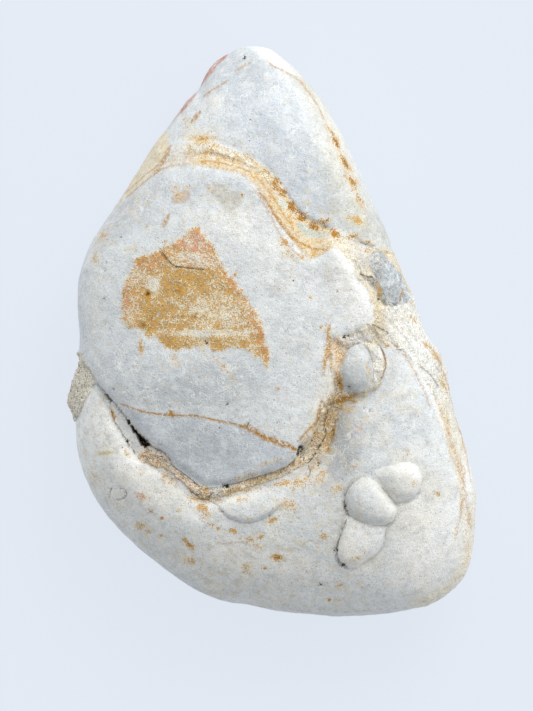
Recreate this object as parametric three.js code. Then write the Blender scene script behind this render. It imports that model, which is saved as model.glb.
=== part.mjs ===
// Menilite concretion: one natural lump of opaline stone that grew as a round dome held in a
// broken outer shell, with an upper lobe, a lower lobe and a few small pads and nodules on it.
// Millimetres. The lump lies on its back: +X across, +Y towards the narrow end, +Z up through
// the dome. The flat spot it rests on is at Z = 0 and the origin is in the middle of the outline.
import * as THREE from 'three';

const THICKNESS = 36;          // flat spot to the top of the dome
const WAIST = 15;              // height of the widest line above the flat spot
const BACK_CROWN = 1.06;       // how far the back would bulge past the flat spot, times WAIST
const CENTRE = [-0.1, 0.1];    // middle of the plan, the rays of the body run from here
const DOME_TOP = THICKNESS - WAIST;
const DOME_CENTRE = [-6.8, 5.9];
const RIM_STEP = 2.0;          // distance between points round the waist
const CREASE_STEP = 1.2;       // along the creases
const FRONT_STEP = 1.9;        // elsewhere on the front
const BACK_STEP = 3.0;         // on the back

// Outlines seen from above, counterclockwise or clockwise, each joined by a smooth curve.
const RIM = [
  [-2.7, 52.9], [-0.1, 52.2], [3.4, 49.4], [6.0, 46.8], [8.8, 43.2], [10.9, 39.9], [13.3, 35.6],
  [15.7, 30.8], [17.9, 25.8], [19.8, 21.7], [21.7, 17.4], [22.4, 15.0], [24.3, 10.7], [25.8, 7.3],
  [27.4, 2.1], [28.9, -1.0], [31.0, -3.8], [32.1, -6.6], [33.2, -12.0], [34.3, -16.5], [35.8, -20.7],
  [36.9, -25.2], [37.9, -29.5], [38.0, -32.1], [37.9, -36.5], [37.3, -41.0], [36.2, -44.7],
  [33.6, -48.1], [29.5, -50.7], [23.9, -52.2], [18.3, -52.9], [12.7, -53.1], [5.3, -52.5],
  [0.3, -52.0], [-4.9, -50.9], [-8.6, -50.3], [-12.9, -48.8], [-17.4, -46.2], [-21.9, -42.9],
  [-26.3, -39.2], [-30.2, -35.2], [-33.2, -31.2], [-35.2, -26.7], [-36.5, -21.9], [-36.9, -17.9],
  [-37.1, -16.3], [-38.0, -14.0], [-38.1, -12.2], [-37.3, -9.0], [-36.5, -6.8], [-36.3, -4.6],
  [-36.2, -0.8], [-36.5, 4.4], [-36.2, 10.3], [-34.3, 15.7], [-32.3, 19.3], [-30.0, 22.4],
  [-27.2, 26.7], [-24.6, 30.8], [-22.2, 34.7], [-18.9, 39.0], [-16.1, 42.7], [-13.9, 44.9],
  [-12.4, 47.9], [-10.7, 49.9], [-7.9, 51.8], [-5.5, 52.7],
];

const CORE = [
  [-29.9, 23.3], [-25.9, 25.6], [-22.2, 28.6], [-18.9, 30.0], [-15.5, 30.7], [-10.9, 30.2],
  [-6.6, 29.1], [-3.8, 27.2], [-1.6, 25.0], [0.5, 21.9], [2.7, 17.9], [5.5, 13.3], [8.5, 7.7],
  [10.5, 2.1], [11.4, -3.4], [11.4, -8.6], [10.5, -13.3], [8.5, -17.6], [5.9, -21.9], [2.3, -25.2],
  [-2.1, -27.2], [-6.6, -28.7], [-12.7, -29.3], [-16.5, -26.9], [-20.9, -22.6], [-25.2, -18.5],
  [-30.0, -12.7], [-34.9, -6.4], [-39.3, 0.3], [-41.6, 8.6], [-39.7, 17.0], [-34.9, 21.7],
];

const DOME = [
  [-29.9, 23.3], [-25.9, 25.6], [-22.2, 28.6], [-18.9, 30.0], [-15.5, 30.7], [-10.9, 30.0],
  [-6.2, 28.9], [-3.8, 27.2], [-1.8, 25.2], [0.3, 21.7], [2.3, 18.5], [4.7, 15.3], [7.2, 13.5],
  [9.4, 14.2], [11.3, 15.3], [12.9, 14.4], [14.4, 12.4], [15.7, 9.6], [17.6, 6.8], [18.7, 3.8],
  [18.3, 1.8], [17.0, 0.5], [15.0, -0.1], [12.9, -1.0], [10.7, -1.6], [10.3, -3.4], [10.7, -6.4],
  [11.2, -10.0], [10.7, -12.7], [8.6, -16.5], [7.2, -19.8], [5.3, -22.6], [2.3, -25.2],
  [-2.1, -26.9], [-6.2, -28.2], [-10.1, -28.7], [-12.7, -29.1], [-15.2, -27.8], [-18.7, -25.0],
  [-20.9, -22.4], [-23.2, -20.7], [-25.2, -18.3], [-27.4, -15.7], [-30.0, -12.6], [-32.1, -10.3],
  [-34.9, -6.4], [-38.2, -2.5], [-41.2, 5.9], [-40.8, 15.2], [-35.6, 21.7],
];

const UPPER_LOBE = [
  [-21.1, 33.4], [-16.1, 34.6], [-11.6, 34.9], [-8.6, 34.0], [-5.7, 32.6], [-3.4, 31.5],
  [-1.2, 30.0], [0.3, 28.0], [2.5, 25.0], [4.7, 22.0], [7.0, 20.4], [9.8, 19.3], [12.7, 17.6],
  [15.5, 16.8], [18.5, 15.3], [21.7, 14.4], [27.6, 15.9], [22.4, 25.4], [13.9, 41.2], [6.2, 52.4],
  [-1.8, 57.0], [-9.2, 54.6], [-15.2, 46.8], [-20.7, 39.7], [-24.5, 35.6],
];

const LOWER_LOBE = [
  [-38.2, -15.7], [-36.5, -13.9], [-34.9, -11.6], [-33.2, -10.1], [-32.1, -10.9], [-31.0, -13.1],
  [-29.7, -15.9], [-28.0, -18.9], [-26.9, -21.3], [-25.2, -23.0], [-23.0, -24.3], [-19.8, -25.8],
  [-17.0, -27.6], [-14.6, -29.9], [-12.0, -31.3], [-7.7, -31.0], [-1.8, -29.9], [3.4, -28.9],
  [6.4, -27.8], [8.1, -25.4], [9.6, -23.0], [11.3, -20.4], [11.6, -17.2], [12.9, -14.6],
  [15.0, -13.1], [17.9, -12.0], [20.2, -9.8], [21.3, -7.2], [20.6, -3.8], [19.8, -0.7], [22.0, 4.0],
  [31.3, 4.0], [42.5, -12.7], [46.2, -27.6], [44.4, -49.9], [29.5, -59.2], [-4.0, -59.2],
  [-22.6, -51.8], [-39.3, -35.1], [-43.1, -22.0],
];

const SLIVER = [
  [-32.1, -10.9], [-31.2, -12.0], [-29.9, -13.7], [-28.2, -16.1], [-26.3, -18.7], [-24.6, -20.9],
  [-24.1, -22.0], [-25.0, -22.4], [-26.7, -21.3], [-28.4, -18.7], [-29.9, -15.7], [-31.2, -13.3],
];

const CRACK = [
  [-32.3, -10.1], [-31.2, -10.9], [-29.7, -12.6], [-28.0, -14.6], [-26.1, -17.0], [-24.6, -19.1],
  [-23.0, -20.7], [-23.2, -21.9], [-24.3, -22.0], [-25.6, -20.9], [-27.1, -18.7], [-28.7, -16.3],
  [-30.4, -13.9], [-31.7, -12.2],
];

const NODULE = [
  [15.9, -2.3], [14.6, -2.9], [13.5, -4.2], [12.7, -6.0], [12.5, -8.1], [12.7, -10.1], [13.9, -11.4],
  [15.2, -11.8], [16.6, -11.1], [18.1, -9.8], [18.7, -8.1], [18.5, -6.0], [17.9, -4.0], [17.0, -2.7],
];

const COLLAR = [
  [15.7, -2.3], [17.6, -2.1], [19.4, -2.9], [20.6, -4.7], [20.9, -6.8], [20.6, -8.6], [19.4, -10.1],
  [17.8, -11.3], [15.9, -12.0], [15.0, -10.9], [15.7, -8.1], [15.7, -4.4],
];

const PAD_A = [
  [22.4, -24.8], [24.3, -24.4], [25.9, -24.6], [27.2, -25.8], [27.8, -27.4], [27.4, -29.3],
  [26.5, -30.6], [24.8, -31.5], [23.2, -31.5], [21.7, -30.8], [19.8, -28.9], [18.3, -27.1],
  [19.3, -25.8], [20.7, -25.2],
];

const PAD_B = [
  [17.6, -27.1], [15.7, -27.6], [14.0, -28.9], [13.3, -30.8], [13.5, -32.6], [14.4, -34.1],
  [16.1, -35.2], [17.9, -35.8], [19.8, -36.0], [21.7, -35.8], [22.8, -34.7], [23.2, -33.2],
  [22.2, -31.5], [20.9, -29.7], [19.4, -28.0],
];

const PAD_C = [
  [13.7, -34.3], [12.9, -36.5], [12.4, -39.0], [11.8, -40.8], [12.2, -42.5], [13.5, -43.6],
  [15.3, -43.8], [17.4, -42.5], [19.3, -41.2], [20.4, -39.7], [20.7, -37.7], [21.1, -35.8],
  [18.3, -34.7],
];

const LENS = [
  [-10.5, -31.9], [-9.6, -33.4], [-8.1, -34.5], [-6.0, -35.2], [-4.2, -35.4], [-2.1, -34.7],
  [-0.7, -33.9], [0.8, -33.0], [2.1, -31.7], [2.5, -30.2], [1.4, -29.3], [-1.8, -29.9],
  [-5.9, -30.6], [-8.6, -31.3],
];

const GREY_HOLLOW = [
  [18.7, 15.5], [17.9, 14.0], [18.1, 12.6], [19.1, 10.9], [20.0, 9.6], [18.3, 9.8], [17.8, 9.0],
  [19.1, 7.0], [20.2, 5.3], [21.1, 4.4], [22.6, 4.7], [24.1, 4.6], [25.4, 5.3], [26.1, 7.0],
  [25.0, 10.3], [23.3, 12.9], [21.9, 15.2],
];

// ---------------------------------------------------------------- small geometry helpers

const clamp = (v, a, b) => Math.min(b, Math.max(a, v));

function smoothStep(a, b, v) {
  const t = clamp((v - a) / (b - a), 0, 1);
  return t * t * (3 - 2 * t);
}

// Larger of two heights with the crease between them rounded over k.
function smoothMax(a, b, k) {
  const h = clamp(0.5 + 0.5 * (a - b) / k, 0, 1);
  return b * (1 - h) + a * h + k * h * (1 - h);
}

// Quarter ellipse that climbs from 0 at an edge to 1 a full width in.
function quarter(t) {
  const u = 1 - clamp(t, 0, 1);
  return Math.sqrt(1 - u * u);
}

// Height of a crown with its top at (cx, cy), falling ka along the angle and kb across it,
// both in mm at 10 mm from the top.
function crown(x, y, [cx, cy], top, angle, ka, kb) {
  const c = Math.cos(angle * Math.PI / 180);
  const s = Math.sin(angle * Math.PI / 180);
  const u = ((x - cx) * c + (y - cy) * s) / 10;
  const v = ((y - cy) * c - (x - cx) * s) / 10;
  return top - ka * u * u - kb * v * v;
}

// Soft swelling of height h and half-lengths ru, rv.
function swelling(x, y, centre, h, angle, ru, rv) {
  return h * Math.exp(crown(x, y, centre, 0, angle, 100 / (ru * ru), 100 / (rv * rv)));
}

// Closed smooth curve through the points of an outline, with its bounding box.
function outline(points) {
  const n = points.length;
  const line = [];
  for (let i = 0; i < n; i++) {
    const [p0, p1, p2, p3] = [n - 1, 0, 1, 2].map((k) => points[(i + k) % n]);
    for (let j = 0; j < 4; j++) {
      const t = j / 4;
      line.push([0, 1].map((a) => 0.5 * (2 * p1[a] + (p2[a] - p0[a]) * t
        + (2 * p0[a] - 5 * p1[a] + 4 * p2[a] - p3[a]) * t * t
        + (3 * p1[a] - p0[a] - 3 * p2[a] + p3[a]) * t * t * t)));
    }
  }
  const xs = line.map((p) => p[0]);
  const ys = line.map((p) => p[1]);
  return { line, box: [Math.min(...xs), Math.min(...ys), Math.max(...xs), Math.max(...ys)] };
}

// Distance to a curve, positive inside it; -99 further than reach outside its box.
function depthInside({ line, box }, x, y, reach = 2) {
  if (x < box[0] - reach || y < box[1] - reach || x > box[2] + reach || y > box[3] + reach) {
    return -99;
  }
  let best = Infinity;
  let inside = false;
  for (let i = 0; i < line.length; i++) {
    const [ax, ay] = line[i];
    const [bx, by] = line[(i + 1) % line.length];
    const dx = bx - ax;
    const dy = by - ay;
    const t = clamp(((x - ax) * dx + (y - ay) * dy) / (dx * dx + dy * dy + 1e-12), 0, 1);
    best = Math.min(best, Math.hypot(x - ax - t * dx, y - ay - t * dy));
    if ((ay > y) !== (by > y) && x < dx * (y - ay) / dy + ax) {
      inside = !inside;
    }
  }
  return inside ? best : -best;
}

// ---------------------------------------------------------------- the body of the lump

const rim = outline(RIM);
const dome = outline(DOME);
const upperLobe = outline(UPPER_LOBE);
const lowerLobe = outline(LOWER_LOBE);
const sliver = outline(SLIVER);
const nodule = outline(NODULE);
const collar = outline(COLLAR);
const padA = outline(PAD_A);
const padB = outline(PAD_B);
const padC = outline(PAD_C);
const lens = outline(LENS);
const greyHollow = outline(GREY_HOLLOW);
const core = outline(CORE);
const crack = outline(CRACK);

// Reach of the rim from the middle at every half degree, sharp and with its small bends smoothed.
const RAYS = 720;
const reachSharp = [];
const reachSmooth = [];

function measureRim() {
  for (let i = 0; i < RAYS; i++) {
    const a = i * 2 * Math.PI / RAYS;
    let far = 0;
    for (let j = 0; j < rim.line.length; j++) {
      const p = rim.line[j];
      const q = rim.line[(j + 1) % rim.line.length];
      const [px, py] = [p[0] - CENTRE[0], p[1] - CENTRE[1]];
      const [ex, ey] = [q[0] - p[0], q[1] - p[1]];
      const det = Math.cos(a) * ey - Math.sin(a) * ex;
      const r = (px * ey - py * ex) / det;
      const s = (px * Math.sin(a) - py * Math.cos(a)) / det;
      if (r > 0 && s >= 0 && s < 1) {
        far = Math.max(far, r);
      }
    }
    reachSharp.push(far);
  }
  for (let i = 0; i < RAYS; i++) {
    let sum = 0;
    let weight = 0;
    for (let k = -80; k <= 80; k++) {
      const w = Math.exp(-0.5 * (k / 28) ** 2);
      sum += w * reachSharp[(i + k + RAYS) % RAYS];
      weight += w;
    }
    reachSmooth.push(sum / weight);
  }
}

function reachAt(table, angle) {
  const t = ((angle / (2 * Math.PI)) % 1 + 1) % 1 * RAYS;
  const i = Math.floor(t) % RAYS;
  const f = t - Math.floor(t);
  return table[i] * (1 - f) + table[(i + 1) % RAYS] * f;
}

// 0 in the middle, 1 on the rim; away from the rim the small bends of the outline fade out.
function outwards(x, y) {
  const angle = Math.atan2(y - CENTRE[1], x - CENTRE[0]);
  const r = Math.hypot(x - CENTRE[0], y - CENTRE[1]);
  const sharp = reachAt(reachSharp, angle);
  const f = clamp(r / sharp, 0, 1) ** 5;
  return clamp(r / (reachAt(reachSmooth, angle) * (1 - f) + sharp * f), 0, 1);
}

// How much of its height a lobe keeps as it rounds over to the waist: blunter on the right and
// bluntest along the right edge of the upper lobe.
function fullness(x, y) {
  const angle = Math.atan2(y - CENTRE[1], x - CENTRE[0]);
  const blunt = 4.3 + 1.5 * Math.cos(angle - 0.44) + 4.5 * Math.exp(-(((angle - 1.08) / 0.5) ** 2));
  return Math.sqrt(1 - outwards(x, y) ** blunt);
}

// The waist isn't quite level.
function waistAt(x, y) {
  return WAIST + 0.7 * Math.sin(0.055 * x + 0.8) + 0.6 * Math.sin(0.045 * y - 0.9);
}

// ---------------------------------------------------------------- lobes, heights above the waist

// Direction round the middle of the dome, in degrees from +X.
const bearing = (x, y) => ((Math.atan2(y - 2.1, x + 10.5) * 180 / Math.PI) + 360) % 360;

// 1 round the lower side of the dome, where the shell is broken and a groove is left.
function grooveSide(x, y) {
  return smoothStep(188, 203, bearing(x, y)) * (1 - smoothStep(318, 338, bearing(x, y)));
}

const edgeOf = (d, drop, width) => (d > 0 ? drop * (quarter(d / width) - 1) : -30);

// The dome: sharp-edged over the groove, running softly into the matrix elsewhere, with a
// shoulder on its right and a flatter facet below a line across its lower part.
function domeHeight(x, y, groove) {
  const d = depthInside(dome, x, y, 200);
  const round = crown(x, y, DOME_CENTRE, DOME_TOP, 58, 0.10, 0.20)
    + swelling(x, y, [16.1, 7.7], 1.1, -62, 9, 3.2)
    - swelling(x, y, [10.5, 5.9], 0.25, -75, 9, 3.0);
  const below = ((x + 28.4) * -8.9 - (y + 13.3) * 32.8) / 34.0;
  const facet = 19.4 - 0.25 * below;
  const soft = -0.16 * Math.max(0, 1.6 - d) ** 2;
  const sharp = d > 0 ? 2.4 * (quarter(d / 3.2) - 1) : -8;
  return -smoothMax(-round, -facet, 1) + soft * (1 - groove) + sharp * groove;
}

function upperHeight(x, y) {
  const edge = edgeOf(depthInside(upperLobe, x, y), 1.2, 1.6);
  return crown(x, y, [14.6, 31.9], 17, 62, 0.05, 0.20) + edge;
}

// The lower lobe: an arm curved round the dome and a bulge on the right.
function lowerHeight(x, y, out) {
  const arm = 15.6 - 0.008 * out * out;
  const bulge = crown(x, y, [24.8, -17.4], 18, -62, 0.42, 0.50);
  const right = smoothStep(5.3, 11.8, x);
  return smoothMax(arm, bulge, 2)
    + edgeOf(depthInside(lowerLobe, x, y), 1.9 + 0.6 * right, 2.4 + 3.6 * right);
}

// Matrix between the lobes: high beside the top of the dome, low in the groove below it, and
// falling more steeply round the upper and left sides.
function matrixHeight(x, y, out, groove) {
  const steep = smoothStep(15, 50, bearing(x, y)) * (1 - smoothStep(195, 215, bearing(x, y)));
  const fall = (0.28 + 0.44 * steep) * out + 0.002 * out * out;
  return 19 - 5.7 * groove - fall - swelling(x, y, [14.6, -6.8], 1, 90, 9, 6);
}

// A pad of height h on the surface under it, rounded like an ellipse about its highest point.
function pad(curve, x, y, top, [ru, rv], angle, h, width, base) {
  const d = depthInside(curve, x, y);
  if (d <= 0) {
    return -50;
  }
  const q = -crown(x, y, top, 0, angle, 100 / (ru * ru), 100 / (rv * rv));
  return base + h * Math.sqrt(Math.max(0.12, 1 - 0.9 * q)) * quarter(d / width);
}

// Height of the front over the waist before it is rounded over, and which form is on top there.
function frontForm(x, y) {
  const out = Math.max(0, -depthInside(core, x, y, 200));
  const groove = grooveSide(x, y);
  const lower = lowerHeight(x, y, out);
  const matrix = matrixHeight(x, y, out, groove);
  const ground = Math.max(lower, matrix);
  const round = domeHeight(x, y, groove);
  const shell = Math.max(smoothMax(lower, matrix, 0.6), upperHeight(x, y));
  const forms = [
    smoothMax(shell, round, 1.2 * (1 - groove) + 0.01),
    pad(padA, x, y, [24.6, -27.6], [5.6, 4.4], 10, 2.7, 2.2, ground),
    pad(padC, x, y, [17.0, -39.3], [6.0, 4.4], 75, 2.7, 2.2, ground),
    pad(padB, x, y, [18.9, -32.5], [6.0, 4.4], -50, 3.7, 2.2, ground),
    pad(collar, x, y, [16.1, -6.8], [30, 30], 0, 0.9, 1.2, matrix - 0.2),
    pad(nodule, x, y, [15.9, -7.2], [5.4, 3.6], 100, 2.2, 1.8, matrix - 0.2),
    pad(lens, x, y, [-3.6, -33.4], [8.0, 3.4], 8, 1.5, 0.8, ground - 0.3),
    pad(sliver, x, y, [-28.2, -17.4], [30, 30], 0, 0.9, 0.7, 13.7),
  ];
  let kind = 0;
  forms.forEach((h, i) => {
    if (h > forms[kind]) {
      kind = i;
    }
  });
  let key = kind;
  if (kind === 0) {
    key = round > shell ? 20 : 21;
    key = key === 21 && upperHeight(x, y) >= shell ? 22 : key;
    key = key === 21 && groove > 0.2 && lower > matrix ? 23 : key;
  }
  const hollow = depthInside(greyHollow, x, y);
  const slot = depthInside(crack, x, y);
  let h = forms[kind];
  if (hollow > 0) {
    h -= 1.6 * quarter(hollow / 0.9) * (1 - 0.75 * smoothStep(18.7, 24.3, x));
  }
  if (slot > 0) {
    h = Math.min(h, 13.2 - 4.5 * quarter(slot / 0.35));
  }
  return { h, key: key + (hollow > 0 ? 100 : 0) + (slot > 0 ? 200 : 0) };
}

function frontHeight(x, y) {
  return waistAt(x, y) + frontForm(x, y).h * fullness(x, y);
}

// The back is a plain low crown, cut off by the flat spot it rests on.
function backHeight(x, y) {
  const round = Math.sqrt(1 - outwards(x, y) ** 2.7);
  const lobes = BACK_CROWN - 0.00004 * (x * x + 0.5 * y * y)
    - swelling(x, y, [20, 26], 0.08, -58, 30, 4) - swelling(x, y, [-22, -30], 0.07, 40, 26, 4);
  return waistAt(x, y) * (1 - Math.min(1, round * lobes));
}

// ---------------------------------------------------------------- mesh

// Points at equal steps along a closed curve, each with the direction into the curve.
function pointsAlong({ line }, step) {
  const n = line.length;
  const next = (i) => line[(i + 1) % n];
  const lengths = line.map((p, i) => Math.hypot(next(i)[0] - p[0], next(i)[1] - p[1]));
  const total = lengths.reduce((sum, v) => sum + v, 0);
  const side = Math.sign(line.reduce((sum, p, i) => sum + p[0] * next(i)[1] - next(i)[0] * p[1], 0));
  const count = Math.round(total / step);
  const points = [];
  let i = 0;
  let passed = 0;
  for (let k = 0; k < count; k++) {
    const along = k * total / count;
    while (passed + lengths[i] < along) {
      passed += lengths[i];
      i++;
    }
    const p = line[i];
    const ux = (next(i)[0] - p[0]) / lengths[i];
    const uy = (next(i)[1] - p[1]) / lengths[i];
    const t = along - passed;
    points.push({ x: p[0] + ux * t, y: p[1] + uy * t, nx: -uy * side, ny: ux * side });
  }
  return points;
}

// Plan points kept apart from each other by a grid of buckets.
class PlanPoints {
  constructor() {
    this.all = [];
    this.buckets = new Map();
  }

  cell(x, y) {
    return `${Math.floor(x / 2)},${Math.floor(y / 2)}`;
  }

  clear(x, y, gap) {
    for (let i = -1; i <= 1; i++) {
      for (let j = -1; j <= 1; j++) {
        const bucket = this.buckets.get(this.cell(x + 2 * i, y + 2 * j)) || [];
        if (bucket.some((p) => Math.hypot(p.x - x, p.y - y) < gap)) {
          return false;
        }
      }
    }
    return true;
  }

  add(x, y, gap, extra = {}) {
    if (!this.clear(x, y, gap)) {
      return;
    }
    // a hair of unevenness, so that no four points lie on one circle
    const dx = 0.002 * Math.sin(91 * x + 37 * y);
    const dy = 0.002 * Math.sin(53 * x - 71 * y);
    const p = { x: x + dx, y: y + dy, ...extra };
    this.all.push(p);
    const name = this.cell(p.x, p.y);
    this.buckets.set(name, [...(this.buckets.get(name) || []), p]);
  }
}

// Delaunay triangles of plan points, one point put in at a time.
function triangulate(points) {
  const far = [{ x: -900, y: -700 }, { x: 900, y: -700 }, { x: 0, y: 1100 }];
  const all = [...points, ...far];
  const n = points.length;
  const around = (a, b, c) => {
    const [p, q, r] = [all[a], all[b], all[c]];
    const d = 2 * ((q.x - p.x) * (r.y - p.y) - (q.y - p.y) * (r.x - p.x));
    const qq = (q.x - p.x) ** 2 + (q.y - p.y) ** 2;
    const rr = (r.x - p.x) ** 2 + (r.y - p.y) ** 2;
    const ux = ((r.y - p.y) * qq - (q.y - p.y) * rr) / d;
    const uy = ((q.x - p.x) * rr - (r.x - p.x) * qq) / d;
    return { v: [a, b, c], x: p.x + ux, y: p.y + uy, r2: ux * ux + uy * uy };
  };
  let faces = [around(n, n + 1, n + 2)];
  for (let i = 0; i < n; i++) {
    const p = all[i];
    const edges = new Map();
    const kept = [];
    for (const f of faces) {
      if ((p.x - f.x) ** 2 + (p.y - f.y) ** 2 >= f.r2) {
        kept.push(f);
        continue;
      }
      f.v.forEach((v, k) => {
        const w = f.v[(k + 1) % 3];
        const back = `${w},${v}`;
        if (!edges.delete(back)) {
          edges.set(`${v},${w}`, [v, w]);
        }
      });
    }
    edges.forEach(([v, w]) => kept.push(around(v, w, i)));
    faces = kept;
  }
  return faces.map((f) => f.v).filter((v) => v.every((k) => k < n));
}

// The rim and the steps inwards from it on one side; a step is short where the side is steep.
function rimPoints(rings) {
  const plan = new PlanPoints();
  const round = pointsAlong(rim, RIM_STEP);
  round.forEach((p) => plan.add(p.x, p.y, 0, { waist: true }));
  rings.forEach((d) => {
    const gap = d < 0.5 ? 0 : 0.8;
    round.forEach((p) => plan.add(p.x + d * p.nx, p.y + d * p.ny, gap));
  });
  return plan;
}

function fill(plan, step) {
  for (let j = -40; j <= 40; j++) {
    for (let i = -40; i <= 40; i++) {
      const x = step * (i + 0.5 * (j & 1));
      const y = step * Math.sqrt(0.75) * j;
      if (depthInside(rim, x, y) > 0.9) {
        plan.add(x, y, 0.66 * step);
      }
    }
  }
}

// Front points: on each visible crease, a little inside it where the lobe rises, then all over.
function frontPoints() {
  const plan = rimPoints([0.1, 0.5, 1.3, 2.6]);
  const lobes = [
    crack, padB, padA, padC, nodule, collar, lens, sliver, dome, upperLobe, lowerLobe, greyHollow,
  ];
  const inside = (x, y, d) => depthInside(rim, x, y) > d;
  const feet = lobes.flatMap((curve) => pointsAlong(curve, CREASE_STEP)).filter((p) => {
    const here = frontForm(p.x + 0.1 * p.nx, p.y + 0.1 * p.ny).key;
    return inside(p.x, p.y, 0.7) && here !== frontForm(p.x - 0.1 * p.nx, p.y - 0.1 * p.ny).key;
  });
  feet.forEach((p) => plan.add(p.x, p.y, 0.55, { foot: true }));
  feet.forEach((p) => plan.add(p.x + 0.5 * p.nx, p.y + 0.5 * p.ny, 0.4));
  feet.forEach((p) => plan.add(p.x + 1.5 * p.nx, p.y + 1.5 * p.ny, 0.8));
  feet.forEach((p) => plan.add(p.x - 1.0 * p.nx, p.y - 1.0 * p.ny, 0.8));
  fill(plan, FRONT_STEP);
  return plan.all.filter((p) => p.waist || inside(p.x, p.y, 0.1));
}

function backPoints() {
  const plan = rimPoints([0.12, 0.7, 2.0]);
  fill(plan, BACK_STEP);
  return plan.all;
}

// On a crease the height is that of the lower side.
function frontPointHeight(p) {
  if (p.waist) {
    return waistAt(p.x, p.y);
  }
  if (!p.foot) {
    return frontHeight(p.x, p.y);
  }
  const ring = [0, 1, 2, 3, 4, 5, 6, 7].map((k) => k * Math.PI / 4);
  return Math.min(...ring.map((a) => frontHeight(p.x + 0.06 * Math.cos(a), p.y + 0.06 * Math.sin(a))));
}

function lumpGeometry() {
  const front = frontPoints();
  const back = backPoints();
  const waist = front.filter((p) => p.waist);
  const insideWaist = (face, points) => {
    const [x, y] = ['x', 'y'].map((k) => face.reduce((sum, v) => sum + points[v][k], 0) / 3);
    let inside = false;
    waist.forEach((a, i) => {
      const b = waist[(i + 1) % waist.length];
      if ((a.y > y) !== (b.y > y) && x < (b.x - a.x) * (y - a.y) / (b.y - a.y) + a.x) {
        inside = !inside;
      }
    });
    return inside;
  };
  const anticlockwise = (face, points) => {
    const [a, b, c] = face.map((v) => points[v]);
    return (b.x - a.x) * (c.y - a.y) > (b.y - a.y) * (c.x - a.x) ? face : [face[0], face[2], face[1]];
  };
  const top = triangulate(front).filter((f) => insideWaist(f, front)).map((f) => anticlockwise(f, front));
  const under = triangulate(back).filter((f) => insideWaist(f, back)).map((f) => anticlockwise(f, back));
  const positions = front.flatMap((p) => [p.x, p.y, frontPointHeight(p)]);
  const shared = waist.length;
  const index = top.flat();
  back.slice(shared).forEach((p) => positions.push(p.x, p.y, backHeight(p.x, p.y)));
  const joined = (v) => (v < shared ? v : v - shared + front.length);
  under.forEach(([a, b, c]) => index.push(joined(a), joined(c), joined(b)));

  const geometry = new THREE.BufferGeometry();
  geometry.setAttribute('position', new THREE.Float32BufferAttribute(positions, 3));
  geometry.setIndex(index);
  geometry.computeBoundingBox();
  const box = geometry.boundingBox;
  geometry.translate(-(box.min.x + box.max.x) / 2, -(box.min.y + box.max.y) / 2, -box.min.z);
  geometry.computeVertexNormals();
  return geometry;
}

measureRim();

const stone = new THREE.MeshStandardMaterial({ color: 0xdfe1df, roughness: 0.85, metalness: 0 });
const menilite = new THREE.Mesh(lumpGeometry(), stone);
menilite.name = 'menilite';

const object = new THREE.Group();
object.name = 'menilite_concretion';
object.add(menilite);

export default object;
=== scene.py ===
"""Looks of a menilite concretion: a pale chalky stone, 106 mm long, lying on a pale floor.

The stone is one piece. Its form is made of the lobes that the CAD solid has, on a mesh fine
enough for cracks, ledges, bands and rough matrix, and its stains are fields on that mesh that
the material turns into grains. Outlines and marks are points picked in the 533 x 711
frame of the photograph; plan() turns them into millimetres of the object's own frame, and the
mesh is in metres.
"""
import math

import bpy
import numpy as np
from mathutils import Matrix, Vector


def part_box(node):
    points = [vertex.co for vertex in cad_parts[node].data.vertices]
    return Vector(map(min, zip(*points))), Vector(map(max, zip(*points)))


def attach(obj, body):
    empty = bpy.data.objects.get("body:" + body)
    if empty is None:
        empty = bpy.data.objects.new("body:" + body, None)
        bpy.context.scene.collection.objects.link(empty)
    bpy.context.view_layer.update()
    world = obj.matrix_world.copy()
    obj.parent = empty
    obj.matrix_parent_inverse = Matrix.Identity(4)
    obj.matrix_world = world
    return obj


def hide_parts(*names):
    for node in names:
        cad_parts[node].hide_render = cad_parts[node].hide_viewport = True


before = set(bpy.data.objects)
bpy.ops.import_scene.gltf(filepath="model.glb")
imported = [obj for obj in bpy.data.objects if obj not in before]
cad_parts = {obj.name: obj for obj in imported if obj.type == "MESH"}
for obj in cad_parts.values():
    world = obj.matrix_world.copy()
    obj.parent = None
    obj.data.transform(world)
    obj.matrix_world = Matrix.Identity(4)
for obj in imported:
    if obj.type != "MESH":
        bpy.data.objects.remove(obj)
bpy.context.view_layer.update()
NODE = "menilite"
BODY = "root"

# ------------------------------------------------------------------ sizes, millimetres

MM = 0.001                      # metres in a millimetre
PX_MM = 0.186                   # millimetres in a pixel of the photograph
FRAME_PX = (533, 711)
MIDDLE_PX = (271.5, 331.5)      # the pixel over the middle of the plan
WAIST = 15.0                    # height of the widest line above the flat spot
BACK_CROWN = 1.06               # how far the back would bulge past the flat spot, times WAIST
DOME_TOP = 21.0                 # top of the dome above the waist
CENTRE = np.array([-0.1, 0.1])  # middle of the plan, the rays of the body run from here
HALF_SIZE = (38.0, 53.0)        # half width and half length
RIM_SHARE = 0.12                # how much closer the mesh's cells lie at the rim
FRONT_CELLS = (236, 330)        # cells of the front of the mesh, across and along
BACK_CELLS = (118, 165)         # half as many on the back

# ------------------------------------------------------------------ places, pixels

DOME_PEAK = (235, 300)
DOME_MIDDLE = (215, 320)        # directions round the dome are taken from here
UPPER_PEAK = (350, 160)
BULGE_PEAK = (432, 440)
FACET_LINE = [(119, 403), (295, 451)]
CRATER = (303, 175.5)
HOLLOW = (336, 354)
# The nodule's lit top right, where its painted shade thins.
NODULE_LIT_SIDE = (364, 356)
RED_BACK = (-15, 43)            # middle of the red stain on the back, millimetres

# ------------------------------------------------------------------ forms, millimetres

FACET_TOP = 19.4
UPPER_TOP = 17.0
ARM_TOP = 14.9
BULGE_TOP = 18.0
MATRIX_TOP = 19.0
SLIVER_LEVEL = 14.2
SLOT_TOP = 13.0
SLOT_DEPTH = 3.0

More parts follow.
